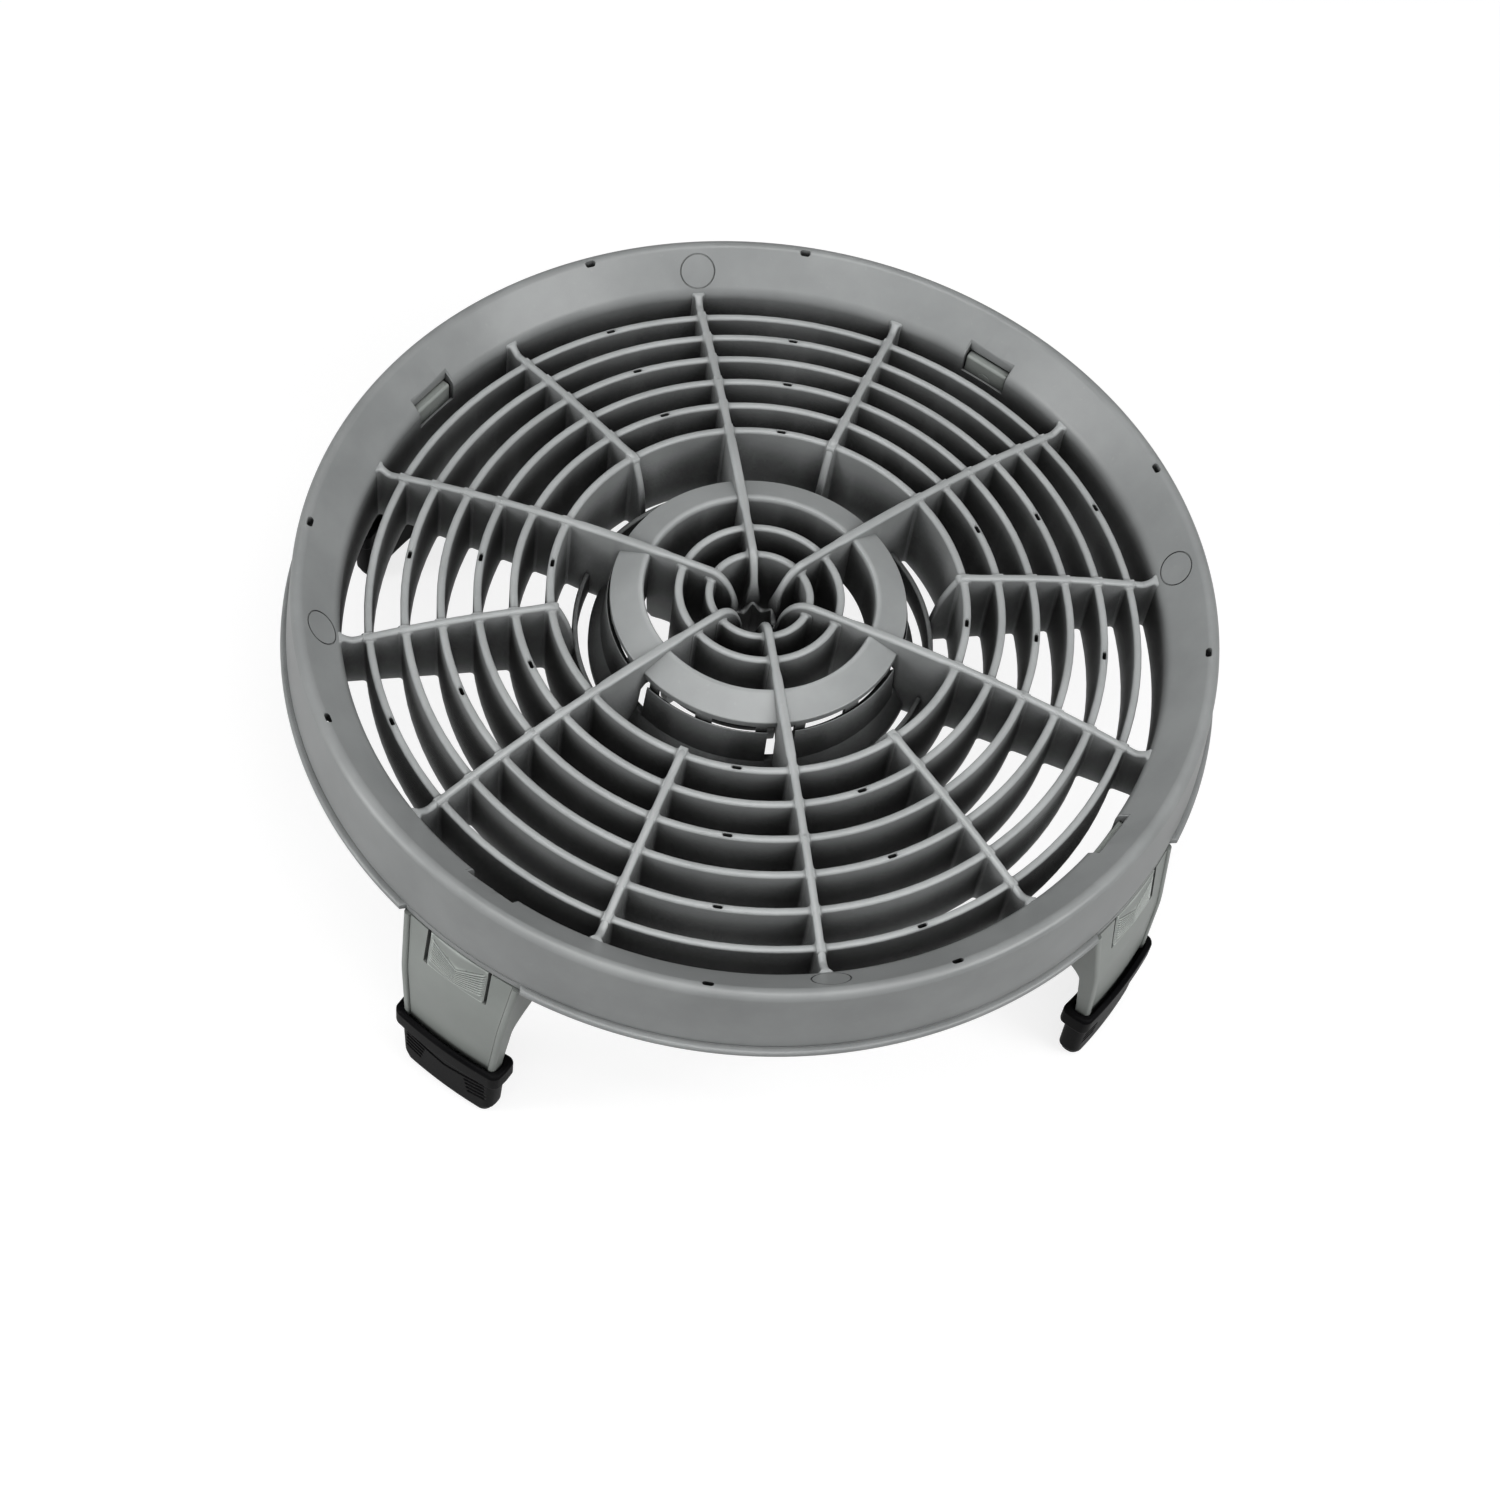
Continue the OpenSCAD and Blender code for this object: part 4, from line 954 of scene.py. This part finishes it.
# Shared finish of moulded plastic and rubber: a cloudy tone, a fine grain for the bump, pale specks
# where a noise is high, and a roughness that drifts: Roughness + Drift x (cloud - 0.5).
def mouldedGrain(m, inputs):
    g, gin, gout = startGroup("mouldedGrain", inputs, ("Cloud", "Grain", "Roughness", "Speck"))
    coord = node(g, "TexCoord")

    def noise(size, detail):
        n = node(g, "TexNoise", {}, {"Detail": detail, "Roughness": m["noiseRoughness"]})
        wire(g, (coord, "Object", n, "Vector"), (gin, size, n, "Scale"))
        return n

    cloud = noise("Cloud Size", m["cloudDetail"])
    grain = noise("Grain Size", m["grainDetail"])
    speck = noise("Speck Size", m["speckDetail"])
    drift = node(g, "Math", {"operation": "MULTIPLY_ADD"})
    centre = node(g, "Math", {"operation": "SUBTRACT"}, {1: 0.5})
    spot = node(g, "MapRange", {}, {"From Min": m["speckFrom"], "From Max": m["speckTo"]})
    wire(g, (cloud, "Fac", centre, 0), (centre, 0, drift, 0), (gin, "Roughness Drift", drift, 1),
         (gin, "Roughness", drift, 2), (speck, "Fac", spot, "Value"),
         (gin, "Speck Amount", spot, "To Max"), (cloud, "Fac", gout, "Cloud"),
         (grain, "Fac", gout, "Grain"), (drift, 0, gout, "Roughness"), (spot, "Result", gout, "Speck"))
    return g


# Shade of narrow gaps: open air within the reach gives 1, a deep and tight place gives Deep Shade,
# and the fall between them follows the share of blocked directions.
def recessShade(m, inputs):
    g, gin, gout = startGroup("recessShade", inputs, ("Shade",))
    air = node(g, "AmbientOcclusion", {"samples": m["airSamples"]})
    fall = node(g, "MapRange", {"interpolation_type": "SMOOTHSTEP"})
    wire(g, (gin, "Reach", air, "Distance"), (air, "AO", fall, "Value"),
         (gin, "Closed Share", fall, "From Min"), (gin, "Open Share", fall, "From Max"),
         (gin, "Deep Shade", fall, "To Min"), (fall, "Result", gout, "Shade"))
    return g


# Painted highlight on rounded crowns: the tone is lifted where the surface is pointy, so a flat place gives 1
# and a place as sharp as Round gives 1 + Lift.
def paintedCrownHighlight():
    g, gin, gout = startGroup("paintedCrownHighlight", {"Flat": 0.505, "Round": 0.54, "Lift": 0.3}, ("Factor",))
    shape, share = node(g, "NewGeometry"), node(g, "MapRange")
    factor = node(g, "Math", {"operation": "MULTIPLY_ADD"}, {2: 1.0})
    wire(g, (shape, "Pointiness", share, "Value"), (gin, "Flat", share, "From Min"),
         (gin, "Round", share, "From Max"), (share, "Result", factor, 0),
         (gin, "Lift", factor, 1), (factor, 0, gout, "Factor"))
    return g


grainGroup = mouldedGrain(moulded, finishes["grate"]["grain"])
recessGroup = recessShade(moulded, finishes["grate"]["recess"])
crownHighlightGroup = paintedCrownHighlight()


# Tone between dark and light by the cloud, with pale specks, times the painted recess shade and the painted
# crown highlight. Recesses are also rougher, and the fine grain goes to the bump.
def makeMaterial(name, s, m):
    mat = bpy.data.materials.new(name)
    mat.use_nodes = True
    t = mat.node_tree
    shader = t.nodes["Principled BSDF"]
    shader.inputs["IOR"].default_value = s["ior"]
    shader.inputs["Specular IOR Level"].default_value = s["gloss"]
    grain = node(t, "Group", {"node_tree": grainGroup}, s["grain"])
    recess = node(t, "Group", {"node_tree": recessGroup}, s["recess"])
    crown = node(t, "Group", {"node_tree": crownHighlightGroup}, {"Lift": s["paintedCrownHighlight"]})
    ramp = node(t, "ValToRGB")
    dark, light = ramp.color_ramp.elements
    dark.position, light.position = m["cloudFrom"], m["cloudTo"]
    dark.color, light.color = s["dark"], s["light"]
    pale = node(t, "Mix", {"data_type": "RGBA", "blend_type": "SCREEN"}, {"B": m["speckTone"]})
    # Painted shade in recesses times the painted highlight on crowns, which scales the base colour.
    shadeAndHighlight = node(t, "Math", {"operation": "MULTIPLY"})
    tone = node(t, "VectorMath", {"operation": "SCALE"})
    matt = node(t, "Mix", {"data_type": "FLOAT"}, {"A": m["deepRoughness"]})
    bump = node(t, "Bump", {}, {"Distance": s["bump"], "Strength": m["bumpStrength"]})
    wire(t, (grain, "Cloud", ramp, "Fac"), (ramp, "Color", pale, "A"), (grain, "Speck", pale, "Factor"),
         (recess, "Shade", shadeAndHighlight, 0), (crown, "Factor", shadeAndHighlight, 1), (pale, "Result", tone, 0),
         (shadeAndHighlight, 0, tone, "Scale"), (tone, "Vector", shader, "Base Color"),
         (recess, "Shade", matt, "Factor"), (grain, "Roughness", matt, "B"),
         (matt, "Result", shader, "Roughness"), (grain, "Grain", bump, "Height"),
         (bump, "Normal", shader, "Normal"))
    return mat


grateMat = makeMaterial("grate plastic", finishes["grate"], moulded)
rimMat = makeMaterial("rim plastic", finishes["rim"], moulded)
legMat = makeMaterial("leg plastic", finishes["leg"], moulded)
padMat = makeMaterial("pad plastic", finishes["pad"], moulded)
rubberMat = makeMaterial("shoe rubber", finishes["rubber"], moulded)

finishPiece(makeRim(rim), rimMat, "grate", ["rim_skirt", "rim_flange", "rim_wall"])
print("rim done")
finishPiece(makeSlats(grille), grateMat, "grate", ["slat_ring_%d" % i for i in range(1, 7)])
finishPiece(makeSpokes(grille), grateMat, "grate", ["long_spokes", "short_spokes"])
print("grille done")
finishPiece(makeHub(hub, grille), grateMat, "grate",
            ["hub_ring_inner", "hub_ring_outer", "centre_well", "shoulder", "collar",
             "foot_ring", "guard_ring"])
print("hub done")
for i in range(4):
    shell, root = makeLeg(i, leg)
    finishPiece(shell, legMat, "leg_%d" % (i + 1), ["leg_%d" % (i + 1)])
    finishPiece(root, legMat, "leg_%d" % (i + 1), [])
    tab = "release_tab_%d" % (i + 1)
    finishPiece(makeTab(i, leg), padMat, tab, [tab])
    finishPiece(makeShoe(i, shoe), rubberMat, "shoe_%d" % (i + 1), ["shoe_%d" % (i + 1)])
print("legs, tabs and shoes done")

studio = {
    "floorHalf": 3.0,
    "floorColor": (0.3, 0.3, 0.3, 1),
    "floorRoughness": 0.6,
    "nearGlow": 0.8,  # round the object, where its shadow lies
    "farGlow": 1.0,
    "nearR": 0.45,
    "farR": 1.3,
    "floorMirror": 0.3,
    "worldLight": 0.05,
}


# Pale floor. To the camera it glows, more and more with the distance from the object, so that it
# ends without an edge. A mirrored ray sees a weaker glow, and no other ray sees any.
def makeFloor(s):
    half = s["floorHalf"]
    mesh = bpy.data.meshes.new("floor")
    corners = [(-half, -half, 0), (half, -half, 0), (half, half, 0), (-half, half, 0)]
    mesh.from_pydata(corners, [], [(0, 1, 2, 3)])
    floor = addObject("floor", mesh)
    mat = bpy.data.materials.new("floor white")
    mat.use_nodes = True
    t = mat.node_tree
    shader = t.nodes["Principled BSDF"]
    shader.inputs["Base Color"].default_value = s["floorColor"]
    shader.inputs["Roughness"].default_value = s["floorRoughness"]
    shader.inputs["Emission Color"].default_value = (1, 1, 1, 1)
    path, coord = node(t, "LightPath"), node(t, "TexCoord")
    mirrored = node(t, "Math", {"operation": "MULTIPLY"}, {1: s["floorMirror"]})
    away = node(t, "VectorMath", {"operation": "LENGTH"})
    pool = node(t, "MapRange", {}, {"From Min": s["nearR"], "From Max": s["farR"],
                                    "To Min": s["nearGlow"], "To Max": s["farGlow"]})
    glow = node(t, "Mix", {"data_type": "FLOAT"})
    wire(t, (coord, "Object", away, 0), (away, "Value", pool, "Value"), (pool, "Result", glow, "B"),
         (path, "Is Glossy Ray", mirrored, 0), (mirrored, 0, glow, "A"),
         (path, "Is Camera Ray", glow, "Factor"), (glow, "Result", shader, "Emission Strength"))
    mesh.materials.append(mat)


# White world to the camera, and a weak even light to everything else.
def makeWorld(s):
    world = bpy.data.worlds.new("studio")
    bpy.context.scene.world = world
    world.use_nodes = True
    w = world.node_tree
    back = w.nodes["Background"]
    back.inputs["Color"].default_value = (1, 1, 1, 1)
    path = node(w, "LightPath")
    level = node(w, "Mix", {"data_type": "FLOAT"}, {"A": s["worldLight"], "B": 1.0})
    wire(w, (path, "Is Camera Ray", level, "Factor"), (level, "Result", back, "Strength"))


lampAim = Vector((0, 0, 0.08))
lamps = {
    "topPanel": {"azimuth": -17, "elevation": 80, "distance": 1.3, "size": (1.0, 0.7), "power": 8.6},
    "frontPanel": {"azimuth": -17, "elevation": 42, "distance": 1.3, "size": (1.0, 0.25), "power": 2.6},
    "leftPanel": {"azimuth": -85, "elevation": 20, "distance": 1.2, "size": (0.35, 0.9), "power": 6.2},
    "rightPanel": {"azimuth": 50, "elevation": 40, "distance": 1.2, "size": (0.5, 0.7), "power": 6.2},
}


# Soft panel that faces the aim from its azimuth and elevation, counted as the camera's are.
def makeLamp(name, s):
    a, e = math.radians(s["azimuth"]), math.radians(s["elevation"])
    out = Vector((math.sin(a) * math.cos(e), -math.cos(a) * math.cos(e), math.sin(e)))
    lamp = bpy.data.lights.new(name, "AREA")
    lamp.shape, lamp.size, lamp.size_y = "RECTANGLE", *s["size"]
    lamp.energy = s["power"]
    obj = addObject(name, lamp)
    obj.location = out * s["distance"] + lampAim
    obj.rotation_mode = "QUATERNION"
    obj.rotation_quaternion = out.to_track_quat("Z", "Y")


makeFloor(studio)
makeWorld(studio)
for name, s in lamps.items():
    makeLamp(name, s)
bpy.context.scene.view_settings.view_transform = "Standard"
print("studio done")
